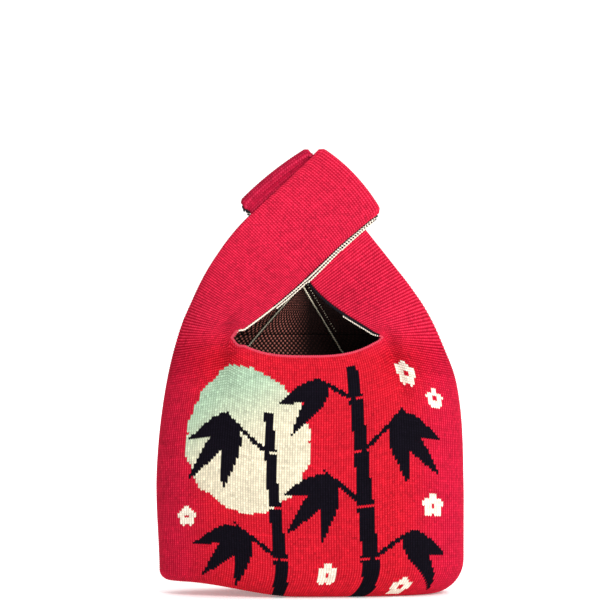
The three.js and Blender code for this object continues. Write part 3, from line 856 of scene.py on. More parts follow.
    def panel(self, side: Side) -> np.ndarray:
        """The outside of a panel from the base seam up to the mouth and the straps' roots.

        Args:
            side: Front or back.

        Returns:
            Points by course and column.
        """
        turns, _, _ = self.turns()
        _, top = self.top(turns, side)
        quarter = self.base_roll * math.pi / 2
        reach = quarter + top - self.base_roll
        rise = np.linspace(0, 1, self.wall_courses * STITCH + 1)[:, None] * reach[None]
        rolled = self.base_roll * (1 - np.cos(np.minimum(rise, quarter) / self.base_roll))
        z = np.where(rise < quarter, rolled, rise - quarter + self.base_roll)
        x, y = self.ring(turns[None], z)
        wall = np.stack([x, side.value * y, z + self.lift(x, z)], -1)
        part = np.linspace(0, 1, self.base_courses * STITCH + 1)[:-1, None]
        ends = np.abs(x[0]) / np.abs(x[0]).max()
        floor_x = mix(x[0] * (1 - self.seam_inset * ends**4), x[0], part)
        floor_y = mix(self.seam_gap, y[0], part)
        floor = np.stack([floor_x, side.value * floor_y, self.lift(floor_x, np.zeros_like(floor_x))], -1)
        return np.concatenate([floor, wall])


@dataclass(frozen=True)
class StrapLoop:
    """A strap loop: edges up from the pouch, a flat band through the crossing and a fold at its end."""

    pouch: Pouch
    hand: Hand
    knot: tuple[float, float]  # middle of the band at the crossing, as X and Z
    angle: float  # direction of the band, in degrees from +X towards +Z
    width: float
    lead: float  # the band is flat from this far before the crossing
    reach: float  # and ends this far past it
    bow: float  # roundness of the fold's line
    layer: float  # from the middle of the bag to the middle of the cloth
    fold_layer: float  # the same beside the fold
    flare_at: float  # where the band goes over from one to the other
    root_courses: int
    band_courses: int
    fold_courses: int = 0
    flare: float = 3.0
    outer_angle: float = 72.0  # steepness of the edges where they leave the pouch
    inner_angle: float = 34.0
    fold_round: float = 4.0  # round of the two corners at the fold
    fold_power: float = 2.2
    spread: float = 0.0  # how far the inner edge runs out up to the fold
    ahead: float = 0.4  # how far the outer edge's courses run ahead in the root, and the inner edge's behind
    behind: float = 0.6
    link_gap: float = 0.1  # half the space between the two strips at the linking seam

    @property
    def along(self) -> np.ndarray:
        """Direction of the band in the front view."""
        return heading(self.angle)

    @property
    def outward(self) -> np.ndarray:
        """Direction from the band's middle to its outer edge."""
        return np.array([-self.along[1], self.along[0]]) * -self.hand

    def in_band(self, across: np.ndarray, distance: np.ndarray, run: np.ndarray | float = 0.0) -> np.ndarray:
        """X and Z of a point of the band at a distance from the crossing, with the run of its inner edge."""
        aside = (0.5 - across) * self.width - run
        return np.array(self.knot) + distance[..., None] * self.along + aside[..., None] * self.outward

    def edge(self, rim: Rim, part: np.ndarray) -> np.ndarray:
        """Follows a curved edge from the pouch to the band.

        Args:
            rim: Which edge.
            part: 0 at the pouch, 1 at the band.

        Returns:
            The points, as X and Z.
        """
        pouch = self.pouch
        outer, inner = pouch.outer_root(self.hand), np.array([pouch.corner_x(self.hand), pouch.mouth_z])
        start, steep = (outer, self.outer_angle) if rim is Rim.OUTER else (inner, self.inner_angle)
        level = 0 if self.hand is Hand.LEFT else 180
        end = self.in_band(np.float64((1 - rim) / 2), np.float64(-self.lead))
        handle = np.linalg.norm(end - start) / 3
        first = start + heading(level - self.hand * steep) * handle
        last = end - self.along * handle
        t = np.asarray(part, float)[..., None]
        return (1 - t) ** 3 * start + 3 * (1 - t) ** 2 * t * first + 3 * (1 - t) * t**2 * last + t**3 * end

    def root(self, across: np.ndarray, part: np.ndarray, fan: float = 1.0) -> np.ndarray:
        """A point half way through the strap's cloth, between the pouch and the band.

        Args:
            across: 0 at the outer edge, 1 at the inner edge.
            part: 0 at the pouch, 1 at the band.
            fan: How far the courses fan out, so that they stay square to the strap.

        Returns:
            The points, with the depth counted away from the middle of the bag.
        """
        spare = fan * part * (1 - part) ** 2
        ahead, behind = part + self.ahead * spare, part - self.behind * spare
        flat = mix(self.edge(Rim.OUTER, ahead), self.edge(Rim.INNER, behind), across[..., None])
        foot = mix(self.edge(Rim.OUTER, np.zeros(1)), self.edge(Rim.INNER, np.zeros(1)), across[..., None])
        depth = self.pouch.depth_at(foot[..., 0], foot[..., 1], GAUGE.cloth / 2)
        up = ramp(mix(ahead, behind, across), 0, 1)
        depth = mix(np.maximum(depth, GAUGE.inner_layer), self.layer, up)
        return np.stack([flat[..., 0], depth, flat[..., 1]], -1)

    def fold_start(self, across: np.ndarray) -> np.ndarray:
        """Finds where the flat band ends and its fold begins.

        Args:
            across: 0 at the outer edge, 1 at the inner edge.

        Returns:
            The distance from the crossing.
        """
        edge = np.minimum(across, 1 - across) * self.width / self.fold_round
        corner = self.fold_round * np.maximum(1 - edge, 0) ** self.fold_power
        lost = self.bow * (2 * across - 1) ** 2 + corner
        return self.reach - lost - GAUGE.cloth / 2 - self.fold_layer

    def band(self, across: np.ndarray, distance: np.ndarray) -> np.ndarray:
        """A point half way through the cloth of the band or its fold.

        Args:
            across: 0 at the outer edge, 1 at the inner edge.
            distance: Along the cloth from the crossing.

        Returns:
            The points, with the depth counted away from the middle of the bag.
        """
        start = self.fold_start(across)
        layer = mix(self.layer, self.fold_layer, ramp(distance, self.flare_at, self.flare_at + self.flare))
        turn = np.maximum(distance - start, 0) / self.fold_layer
        run = self.spread * np.maximum(2 * across - 1, 0) * ramp(distance, 0, self.reach)
        flat = self.in_band(across, np.minimum(distance, start) + self.fold_layer * np.sin(turn), run)
        depth = np.where(turn > 0, self.fold_layer * np.cos(turn), layer)
        return np.stack([flat[..., 0], depth, flat[..., 1]], -1)

    def fold(self, across: np.ndarray) -> np.ndarray:
        """Lays rows round the fold, up to the linking seam.

        Args:
            across: Place of each column, 0 at the outer edge, 1 at the inner edge.

        Returns:
            Points by row and column.
        """
        quarter = self.fold_layer * math.pi / 2 - self.link_gap
        turn = np.linspace(0, quarter, self.fold_courses * STITCH + 1)[1:, None]
        return self.band(across, self.fold_start(across) + turn)

    def inner_at(self, z: float) -> np.ndarray:
        """Finds the inner edge at a height.

        Args:
            z: The height.

        Returns:
            The point half way through the cloth.
        """
        parts = np.linspace(0, 1, EDGE_POINTS)
        heights = self.edge(Rim.INNER, parts)[:, 1]
        if z > heights[-1]:
            return self.band(np.ones(1), np.array([(z - heights[-1]) / self.along[1] - self.lead]))[0]
        return self.root(np.ones(1), np.interp([z], heights, parts), fan=0.0)[0]


def thicken(middle: np.ndarray, side: Side) -> np.ndarray:
    """Puts a surface in its half of the bag and moves it from the middle of the cloth out to its face.

    Args:
        middle: Points by row and column, with the depth counted away from the middle of the bag.
        side: Front or back.

    Returns:
        The points of the face.
    """
    placed = middle * np.array([1, side.value, 1])
    return placed + outward_normals(placed, side)[0] * GAUGE.cloth / 2


def ease_joint(
    lower: np.ndarray, upper: np.ndarray, fade: np.ndarray, reach: int = 26, rounds: int = 160
) -> None:
    """Rounds the crease where a strip grows out of a panel, in place.

    Args:
        lower: The panel's columns under the strip.
        upper: The strip, whose first row is the panel's last.
        fade: How far each column takes part.
        reach: Mesh rows on each side that may move.
        rounds: How often they are evened out.
    """
    stack = np.concatenate([lower[-reach - 1 :], upper[1 : reach + 1]])
    weight = np.sin(np.linspace(0, np.pi, len(stack)))[1:-1, None, None] * fade[None, :, None] / 2
    for _ in range(rounds):
        stack[1:-1] += weight * ((stack[:-2] + stack[2:]) / 2 - stack[1:-1])
    lower[-reach - 1 :] = stack[: reach + 1]
    upper[: reach + 1] = stack[reach:]


def meet(
    yoke: np.ndarray, edge: np.ndarray, column: int,
    lap: float = 0.8, tuck: float = 0.3, rows: int = 6, columns: int = 12,
) -> None:
    """Draws one end of the yoke in under the edge of the strap beside it, in place.

    Args:
        yoke: Points by row and column.
        edge: The strap's edge, from the pouch upwards.
        column: The yoke's column that meets it, 0 or -1.
        lap: How far the yoke runs under the strap.
        tuck: How far it lies below the strap's face there.
        rows: Mesh rows over which the lap begins.
        columns: Columns over which the yoke follows.
    """
    outward = -1 if column == 0 else 1
    target = np.stack([np.interp(yoke[:, column, 2], edge[:, 2], edge[:, axis]) for axis in (0, 1)], -1)
    target += np.array([outward * lap, -tuck]) * ramp(np.arange(len(yoke)), 0, rows)[:, None]
    shift = target - yoke[:, column, :2]
    away = np.abs(np.arange(yoke.shape[1]) - column % yoke.shape[1])
    yoke[..., :2] += shift[:, None] * (1 - ramp(away, 0, columns))[None, :, None]


@dataclass(frozen=True)
class Crease:
    """A soft crease that fades out along its run, as X and Z."""

    start: tuple[float, float]
    end: tuple[float, float]
    depth: float  # below 0 for a ridge
    width: float
    onset: float = 0.2  # it begins this share of its run before its start
    hold: float = 0.4  # and is at full depth over this share

    def push(self, x: np.ndarray, z: np.ndarray) -> np.ndarray:
        """Presses the crease into the cloth.

        Args:
            x: Place of each point across.
            z: Height of each point.

        Returns:
            How far each point is pushed in.
        """
        from_start = np.stack([x, z], -1) - self.start
        run = np.subtract(self.end, self.start)
        along = from_start @ run / (run @ run)
        off = from_start @ [run[1], -run[0]] / np.linalg.norm(run)
        fade = ramp(along, -self.onset, 0) * (1 - ramp(along, self.hold, 1))
        return self.depth * np.exp(-((off / self.width) ** 2)) * fade


CREASES = (
    Crease((59.0, 190.0), (76.0, 128.0), 4.2, 5.5),
    Crease((69.0, 190.0), (90.0, 128.0), -2.0, 7.0),
    Crease((-63.0, 205.0), (-72.0, 150.0), 4.6, 7.5),
    Crease((-50.0, 186.0), (-56.0, 130.0), -1.2, 8.0),
    Crease((28.0, 20.0), (98.0, 36.0), 1.0, 7.0),
)
# Dents of limp cloth: a depth, and two ripples with their runs along X and Z, their phase,
# and how far that differs between front and back
DENTS = (
    (0.8, (23.0, 41.0, 0.0, 0.7), (-61.0, 33.0, 1.1, 0.0)),
    (0.4, (9.5, -14.0, 2.1, 0.0), (math.inf, 21.0, 0.0, 0.4)),
)
DENTS_FROM, DENTS_TO, DENTS_END = 30.0, 178.0, 208.0  # heights where they are full, fade and end
SEAM_HOLD = (1.0, 11.0)  # depths between which the side seams let go of the cloth


def slump(points: np.ndarray, side: Side) -> np.ndarray:
    """Soft dents and creases of a limp bag, as a push towards its middle.

    Args:
        points: Points of a panel or strap.
        side: Front or back.

    Returns:
        The push of each point.
    """
    x, y, z = np.moveaxis(points, -1, 0)
    push = np.zeros(x.shape)
    for depth, *ripples in DENTS:
        for run_x, run_z, phase, turned in ripples:
            depth = depth * np.sin(x / run_x + z / run_z + phase - turned * side.value)
        push += depth
    push *= ramp(z, 0, DENTS_FROM) * (1 - ramp(z, DENTS_TO, DENTS_END))
    for crease in CREASES:
        push += crease.push(x, z)
    return push * ramp(np.abs(y), *SEAM_HOLD)


def blunt(points: np.ndarray, corner: Sequence[float], spread: float, reach: float) -> None:
    """Rounds a corner of the mouth by spreading the cloth above and below it, in place.

    Args:
        points: Points of a panel or strap.
        corner: The corner, as X and Z.
        spread: Share that heights over and under the corner grow by.
        reach: How far round it the cloth moves.
    """
    over = points[..., 2] - corner[1]
    away = np.hypot(points[..., 0] - corner[0], over)
    points[..., 2] += spread * over * (1 - ramp(away, 0, reach))


def new_tree(
    name: str, inputs: dict[str, str], output: str
) -> tuple[bpy.types.NodeTree, bpy.types.NodeOutputs]:
    """Starts a geometry tree.

    Args:
        name: What it makes.
        inputs: Kinds of sockets by their names.
        output: Name of the geometry that it gives.

    Returns:
        The tree, and its inputs as sockets to link from.
    """
    tree = bpy.data.node_groups.new(name, "GeometryNodeTree")
    for label, kind in inputs.items():
        tree.interface.new_socket(label, in_out="INPUT", socket_type=f"NodeSocket{kind}")
    tree.interface.new_socket(output, in_out="OUTPUT", socket_type="NodeSocketGeometry")
    return tree, add_node(tree, "NodeGroupInput").outputs


def close_tree(tree: bpy.types.NodeTree, made: bpy.types.Node, yarn: bpy.types.NodeSocket) -> None:
    """Ends a geometry tree with real, smooth faces in a yarn.

    Args:
        tree: The tree.
        made: Node that gives the geometry.
        yarn: Socket that gives the material.
    """
    real = add_node(tree, "GeometryNodeRealizeInstances", {0: made})
    smoothed = add_node(tree, "GeometryNodeSetShadeSmooth", {0: real})
    dressed = add_node(tree, "GeometryNodeSetMaterial", {0: smoothed, "Material": yarn})
    add_node(tree, "NodeGroupOutput", {0: dressed})


def stitch_tree() -> bpy.types.NodeTree:
    """Makes the tree that sets slanted stitches along a line.

    Returns:
        The tree.
    """
    sockets = {
        "Line": "Geometry",
        "Spacing": "Float",
        "Size": "Vector",
        "Slant": "Float",
        "Looseness": "Float",
        "Seed": "Int",
        "Yarn": "Material",
    }
    tree, given = new_tree("stitch_row", sockets, "Stitches")
    curve = add_node(tree, "GeometryNodeMeshToCurve", {0: given["Line"]})
    spaced = {"Curve": curve, "Length": given["Spacing"]}
    points = add_node(tree, "GeometryNodeCurveToPoints", spaced, mode="LENGTH")
    ball = {"Segments": BEAD_SIDES, "Rings": BEAD_RINGS, "Radius": 0.5}
    bead = add_node(tree, "GeometryNodeMeshUVSphere", ball)
    facing = add_node(tree, "GeometryNodeInputNamedAttribute", {"Name": "facing"}, data_type="FLOAT_VECTOR")
    either_way = {2: -1.0, 3: 1.0, "Seed": given["Seed"]}
    chance = add_node(tree, "FunctionNodeRandomValue", either_way, data_type="FLOAT").outputs[1]
    loosened = {0: chance, 1: given["Looseness"], 2: given["Slant"]}
    turn = add_node(tree, "ShaderNodeMath", loosened, operation="MULTIPLY_ADD")
    tangent = {"Vector": points.outputs["Tangent"]}
    ahead = add_node(tree, "FunctionNodeAlignRotationToVector", tangent, axis="X")
    standing = {"Rotation": ahead, "Vector": facing}
    upright = add_node(tree, "FunctionNodeAlignRotationToVector", standing, axis="Z", pivot_axis="X")
    slant = add_node(tree, "FunctionNodeAxisAngleToRotation", {"Axis": UP, "Angle": turn})
    slanted = add_node(tree, "FunctionNodeRotateRotation", {0: upright, 1: slant}, rotation_space="LOCAL")
    stitches = {"Points": points, "Instance": bead, "Rotation": slanted, "Scale": given["Size"]}
    close_tree(tree, add_node(tree, "GeometryNodeInstanceOnPoints", stitches), given["Yarn"])
    return tree


def cord_tree() -> bpy.types.NodeTree:
    """Makes the tree that runs a round cord along a line.

    Returns:
        The tree.
    """
    sockets = {"Line": "Geometry", "Radius": "Float", "Yarn": "Material"}
    tree, given = new_tree("yarn_cord", sockets, "Cord")
    curve = add_node(tree, "GeometryNodeMeshToCurve", {0: given["Line"]})
    circle = {"Resolution": CORD_SIDES, "Radius": given["Radius"]}
    section = add_node(tree, "GeometryNodeCurvePrimitiveCircle", circle)
    swept = {"Curve": curve, "Profile Curve": section, "Fill Caps": True}
    close_tree(tree, add_node(tree, "GeometryNodeCurveToMesh", swept), given["Yarn"])
    return tree


@dataclass(frozen=True)
class YarnRow:
    """A row of stitches, or a cord where it has no spacing, beside an edge or along a seam."""

    finish: str
    size: tuple[float, float, float]  # of a stitch, along, across and out of the face
    spacing: float = 0.0
    slant: float = 0.0  # in degrees
    looseness: float = 0.12
    away: float = 0.0  # from the edge
    lift: float = 0.0  # out of the middle of the cloth
    start: float = 0.0  # part of the line where it begins
    end: float = 1.0


Edge = tuple[np.ndarray, Sequence[float], Sequence[float]]  # points, ways out of the face, ways off the cloth


class Workshop:
    """Trees and finishes that all pieces share."""

    def __init__(self) -> None:
        """Makes the finishes and the node trees."""
        self.face = KnitFace().build()
        self.reverse = KnitReverse().build()
        finishes = (
            SpunYarn(name="ivory_cotton_selvedge", yarn=Yarn.IVORY, uneven=0.2),
            SpunYarn(name="black_cotton_selvedge", yarn=Yarn.BLACK),
            SpunYarn(name="red_cotton_rolled_edge", yarn=Yarn.PETAL),
            SpunYarn(name="cream_polyester_overlock", yarn=Yarn.CREAM, roughness=0.8),
            SpunYarn(name="dark_cotton_seam_allowance", yarn=Yarn.UMBER),
        )
        self.yarns = {finish.name: finish.build() for finish in finishes}
        self.stitches = stitch_tree()
        self.cords = cord_tree()

    def strand(self, line: np.ndarray, facing: np.ndarray, row: YarnRow, seed: int) -> bpy.types.Mesh:
        """Runs one row of yarn along a line.

        Args:
            line: Points in millimetres.
            facing: Direction out of the cloth at each point.
            row: What the row is made of.
            seed: For its looseness.

        Returns:
            The mesh.
        """
        first, last = (round(part * (len(line) - 1)) for part in (row.start, row.end))
        line, facing = line[first : last + 1], facing[first : last + 1]
        path = bpy.data.meshes.new("path")
        path.from_pydata((line * MM).tolist(), [(k, k + 1) for k in range(len(line) - 1)], [])
        directions = path.attributes.new("facing", "FLOAT_VECTOR", "POINT")
        directions.data.foreach_set("vector", facing.astype(np.float32).ravel())
        holder = link_object("path", path)
        modifier = holder.modifiers.new("yarn", "NODES")
        modifier.node_group = self.stitches if row.spacing else self.cords
        values = {
            "Spacing": row.spacing * MM,
            "Size": tuple(length * MM for length in row.size),
            "Radius": row.size[1] / 2 * MM,
            "Slant": math.radians(row.slant),
            "Looseness": row.looseness,
            "Seed": SEED + seed,
            "Yarn": self.yarns[row.finish],
        }
        for item in modifier.node_group.interface.items_tree:
            if item.in_out == "INPUT" and item.name in values:
                modifier[item.identifier] = values[item.name]
        graph = bpy.context.evaluated_depsgraph_get()
        made = bpy.data.meshes.new_from_object(holder.evaluated_get(graph), depsgraph=graph)
        holder.modifiers.remove(modifier)
        bpy.data.objects.remove(holder)
        bpy.data.meshes.remove(path)
        return made

    @staticmethod
    def gather(name: str, strands: Sequence[bpy.types.Mesh]) -> bpy.types.Object:
        """Joins strands into one piece.

        Args:
            name: Name of the piece.
            strands: Meshes with a material each.

        Returns:
            The piece, at the origin.
        """
        mesh = bpy.data.meshes.new(name)
        joined = bmesh.new()
        for slot, strand in enumerate(strands):
            known = len(joined.faces)
            joined.from_mesh(strand)
            joined.faces.ensure_lookup_table()
            for face in joined.faces[known:]:
                face.material_index = slot
            mesh.materials.append(strand.materials[-1])
            bpy.data.meshes.remove(strand)
        joined.to_mesh(mesh)
        joined.free()
        return link_object(name, mesh)

    def trim(self, name: str, edge: Edge, rows: Sequence[YarnRow]) -> bpy.types.Object:
        """Lays rows of yarn along an edge.

        Args:
            name: Name of the piece.
            edge: Where they go.
            rows: The rows.

        Returns:
            The piece.
        """
        line = edge[0]
        facing, away = (np.broadcast_to(np.asarray(direction, float), line.shape) for direction in edge[1:])
        strands = [
            self.strand(line + away * row.away + facing * row.lift, facing, row, k + len(name))
            for k, row in enumerate(rows)
        ]
        return self.gather(name, strands)


BAND_SELVEDGE = (
    YarnRow("ivory_cotton_selvedge", (2.4, 1.4, 1.4), 2.1, -25, away=1.0, start=0.06, end=0.36),
    YarnRow("ivory_cotton_selvedge", (1.0, 1.1, 1.1), away=1.0, lift=-0.2, start=0.06, end=0.36),
    *(
        YarnRow(
            f"{yarn}_cotton_selvedge",
            (along * wide, wide * grown, wide * grown),
            spacing=2.1 if slant else 0.0,
            slant=slant,
            away=away * grown,
            lift=lift,
            start=start,
            end=end,
        )
        for grown, start, end in ((1.0, 0.36, 0.58), (1.25, 0.58, 0.8), (1.5, 0.8, 1.0))
        for yarn, along, wide, slant, away, lift in (
            ("black", 1.0, 1.2, 20, 0.3, 0.5),
            ("ivory", 1.7, 1.4, -25, 1.1, 0.0),
            ("ivory", 1.0, 1.1, 0, 1.1, -0.2),
            ("black", 1.0, 1.2, 20, 2.0, 0.3),
            ("ivory", 1.7, 1.3, -25, 2.8, -0.3),
            ("ivory", 1.0, 1.0, 0, 2.7, -0.5),
        )
    ),
)
STRAP_SELVEDGE = (
    YarnRow("black_cotton_selvedge", (1.6, 2.8, 1.6), 1.7, 20, away=1.0, lift=-0.2, start=0.02),
    YarnRow("ivory_cotton_selvedge", (2.2, 1.0, 1.0), 1.7, -22, away=2.7, lift=-0.5, start=0.04, end=0.38),
)
LOOP_SELVEDGE = (
    YarnRow("black_cotton_selvedge", (1.6, 3.0, 2.2), 1.7, 20, away=1.2),
    YarnRow("ivory_cotton_selvedge", (1.4, 0.7, 0.7), 2.3, -22, away=2.4, lift=-0.9),
)
ROLLED_EDGE = (
    YarnRow("red_cotton_rolled_edge", (1.0, 2.2, 2.2), away=0.2),
    YarnRow("red_cotton_rolled_edge", (2.4, 1.5, 1.5), 1.6, 35, away=0.9, lift=0.5),
    YarnRow("red_cotton_rolled_edge", (2.4, 1.5, 1.5), 1.6, -35, away=0.8, lift=-0.6),
)
MOUTH_BINDING = (
    YarnRow("ivory_cotton_selvedge", (1.0, 1.6, 1.6), away=0.4),
    YarnRow("ivory_cotton_selvedge", (2.0, 1.2, 1.2), 1.6, 30, away=1.0),
)
OVERLOCK = (
    YarnRow("dark_cotton_seam_allowance", (1.0, 2.4, 2.4)),
    YarnRow("cream_polyester_overlock", (2.2, 0.7, 0.7), 1.8, 55, lift=0.9),
    YarnRow("cream_polyester_overlock", (1.0, 0.7, 0.7), lift=1.3),
)
LOOSE_LOOPS = YarnRow(
    "cream_polyester_overlock", (1.2, 0.6, 0.5), 2.3, 50, looseness=0.9, away=4.2, lift=0.8, start=0.67
)
LINKING = (
    YarnRow("black_cotton_selvedge", (1.0, 1.2, 1.2)),
    YarnRow("black_cotton_selvedge", (1.8, 0.9, 0.9), 1.7, 40, lift=0.3),
)


@dataclass(frozen=True)
class BackSeam:
    """An overlocked seam inside the back: its places across the yoke's foot and top, and on the base."""

    hand: Hand
    foot: float
    tip: float
    base_x: float
    rows: tuple[YarnRow, ...] = OVERLOCK


BACK_SEAMS = (
    BackSeam(Hand.LEFT, 0.18, 0.18, -50.0),
    BackSeam(Hand.RIGHT, 0.66, 0.0, 44.0, (*OVERLOCK, LOOSE_LOOPS)),
)
SIDE_POINTS, BASE_POINTS, BACK_POINTS, LINK_POINTS = 90, 120, 80, 40  # along each kind of seam
MOUTH_CORNERS = ((Hand.LEFT, 1.3, 13.0), (Hand.RIGHT, 0.5, 9.0))  # how far its cloth spreads, and its reach


@dataclass
class KnotBag:
    """The whole bag: the pouch, its two strap loops, the yoke, the edgings and the seams."""

    shop: Workshop
    pouch: Pouch = field(default_factory=Pouch)
    design: BambooDesign = field(default_factory=BambooDesign)
    ruby: tuple[float, float] = (62.0, 107.0)  # the red darkens between these places to the sides, painted shade where the panel turns away from the light
    crimson: tuple[float, float] = (176.0, 206.0)  # and crimson between these heights
    panel_stretch: float = 0.9  # at a panel's upper corners, where the straps pull
    pulled_z: tuple[float, float] = (140.0, 185.0)  # it grows between these heights
    pulled_x: tuple[float, float] = (40.0, 65.0)  # and between these places to the sides
    strap_stretch: tuple[float, float] = (0.95, 0.7)  # at the straps' roots, and at the crossing
    eased_z: tuple[float, float] = (225.0, 285.0)  # it goes from one to the other between these heights
    yoke_stretch: float = 0.3
    pull_stretch: float = 0.45
    yoke_rise: float = 40.0  # up to its binding
    yoke_belly: float = 4.0
    yoke_courses: int = 21
    yoke_clear: float = 2.0  # the back straps' selvedges start this far over it
    bend_from: float = 205.0  # heights on the straps, between the pouch and the knot
    bend_to: float = 250.0
    split: float = 7.8  # the pull loop starts this far before the crossing
    tuck: float = 9.4  # width of the pull loop's fold up to where it is tucked in
    tuck_width: float = 1.3
    # painted shade along the tuck's crease, as a share of the darkest hollow
    tuck_hollow: float = 0.5
    tuck_depth: float = 0.4
    settle_rows: int = 36  # mesh rows over which a strip's foot is drawn on to the panel
    ease_columns: int = 10  # columns beside a free edge that hold their crease
    turn_left: int = 16  # mesh rows that the mouth's rolled edge runs up the left strap
    turn_right: int = 4  # and up the right one
    seam_radius: float = 1.8
    seam_sweep: float = 6.0  # how late the back seams turn in towards the yoke
    link_radius: float = 0.9
    link_inset: float = 0.05  # share of the strap's width that its linking seam stops short of each edge

    def __post_init__(self) -> None:
        """Lays out the loops and the columns of the panels."""
        self.turns, self.left_corner, self.right_corner = self.pouch.turns()
        left = StrapLoop(
            self.pouch, Hand.LEFT, knot=(-2.4, 281.2), angle=43.4, width=63.0, lead=30.0, reach=49.4, bow=4.0,
            layer=GAUGE.outer_layer, fold_layer=GAUGE.outer_layer, flare_at=49.4, spread=2.2,
            root_courses=58, band_courses=36, fold_courses=4,
        )
        right = StrapLoop(
            self.pouch, Hand.RIGHT, knot=(-0.6, 280.6), angle=128.4, width=57.2, lead=40.0, reach=45.8,
            bow=2.0, layer=GAUGE.inner_layer, fold_layer=4.3, flare_at=37.0, root_courses=38, band_courses=17,
        )
        self.loops = {loop.hand: loop for loop in (left, right)}
        self.pull = replace(right, width=64.0, fold_round=3.0, band_courses=24, fold_courses=4)

    def red(self, skin: np.ndarray) -> np.ndarray:
        """Dyes the ground scarlet, a darker red at the sides that is painted shade, and crimson on the
        straps.

        Args:
            skin: Points of a piece's face.

        Returns:
            The linear colour of each stitch.
        """
        middle = skin[1::STITCH, 1::STITCH]
        # beside: share of the painted shade at the panel's sides
        beside, above = ramp(np.abs(middle[..., :1]), *self.ruby), ramp(middle[..., 2:], *self.crimson)
        return mix(mix(Yarn.SCARLET.colour, Yarn.RUBY.colour, beside), Yarn.CRIMSON.colour, above)

    def stretch(self, name: str, skin: np.ndarray) -> float | np.ndarray:
        """Stretches a piece: most at the straps' roots, and not in the middle of a panel.

        Args:
            name: Name of the piece.
            skin: Points of its face.

        Returns:
            From 0 where gaps open between its wales to 1 where they open between its courses.
        """
        x, z = np.abs(skin[..., 0]), skin[..., 2]
        if "panel" in name:
            return self.panel_stretch * ramp(z, *self.pulled_z) * ramp(x, *self.pulled_x)
        if "strap" in name:
            return mix(*self.strap_stretch, ramp(z, *self.eased_z))
        return self.yoke_stretch if "yoke" in name else self.pull_stretch

    def across(self, hand: Hand, side: Side) -> np.ndarray:
        """Places the columns of a strap at its root.

        Args:
            hand: Left or right loop.
            side: Front or back.

        Returns:
            From 0 at the outer edge to 1 at the inner edge, for each column.
        """
        x, _ = self.pouch.top(self.turns, side)
        x = x[: self.left_corner + 1] if hand is Hand.LEFT else x[self.right_corner :]
        root, corner = self.pouch.outer_root(hand)[0], self.pouch.corner_x(hand)
        return np.clip((x - root) / (corner - root), 0, 1)

    def strip(self, hand: Hand, side: Side) -> np.ndarray:
        """The face of one strap strip, from the pouch up to its fold or to where the pull loop takes over.

        Args:
            hand: Left or right loop.
            side: Front or back.

        Returns:
            Points by course and column, with the columns from left to right.
        """
        loop = self.loops[hand]
        first = self.across(hand, side)
        even = np.linspace(0, 1, len(first))[::-hand]
        part = np.linspace(0, 1, loop.root_courses * STITCH + 1)[:, None]
        rows = [loop.root(mix(first, even, ramp(part, 0, 1)), part)]
        end = loop.fold_start(even) if loop.fold_courses else np.full(len(even), -self.split - GAUGE.gap)
        run = np.linspace(0, 1, loop.band_courses * STITCH + 1)[1:, None]
        rows.append(loop.band(even, mix(-loop.lead, end, run)))
        if loop.fold_courses:
            rows.append(loop.fold(even))
        return thicken(np.concatenate(rows), side)

    def pull_sheet(self, side: Side) -> KnitSheet:
        """Knits one strip of the pull loop, with the line where its fold is tucked in, pressed in and
        darkened with painted shade.

        Args:
            side: Front or back.

        Returns:
            The sheet.
        """
        loop = self.pull
        even = np.linspace(1, 0, len(self.turns) - self.right_corner)
        run = np.linspace(0, 1, loop.band_courses * STITCH + 1)[:, None]
        flat = loop.band(even, mix(-self.split, loop.fold_start(even), run))
        skin = thicken(np.concatenate([flat, loop.fold(even)]), side)
        # the pull loop's darker red is painted shade
        shaded_red = np.broadcast_to(Yarn.ROSE.colour, skin[1::STITCH, 1::STITCH].shape)
        name = f"pull_loop_{side.word}_knit"
        sheet = KnitSheet(name, side, skin, dyed(shaded_red, PULL_SALT), self.stretch(name, skin))
        along = skin[..., [0, 2]] @ loop.along
        tuck = np.exp(-(((along.max(0) - along - self.tuck) / self.tuck_width) ** 2))
        # darkens the crease with painted shade
        sheet.hollow = np.maximum(sheet.hollow, self.tuck_hollow * tuck)
        sheet.raised -= sheet.normals * self.tuck_depth * tuck[..., None]
        return sheet

    def yoke(self) -> np.ndarray:
        """Spans the back yoke between the back straps.

        Returns:
            Points of its outside by course and column.
        """
        x, _ = self.pouch.top(self.turns, Side.BACK)
        x = x[self.left_corner : self.right_corner + 1]
        across = (x - x[0]) / (x[-1] - x[0])
        rows = []
        for rise in np.linspace(0, self.yoke_rise, self.yoke_courses * STITCH + 1):
            left, right = (self.loops[hand].inner_at(self.pouch.mouth_z + rise) for hand in Hand)
            row = mix(left, right, across[:, None])
            row[:, 1] += self.yoke_belly * np.sin(np.pi * across) * (1 - rise / self.yoke_rise)
            rows.append(row)
        return thicken(np.array(rows), Side.BACK)

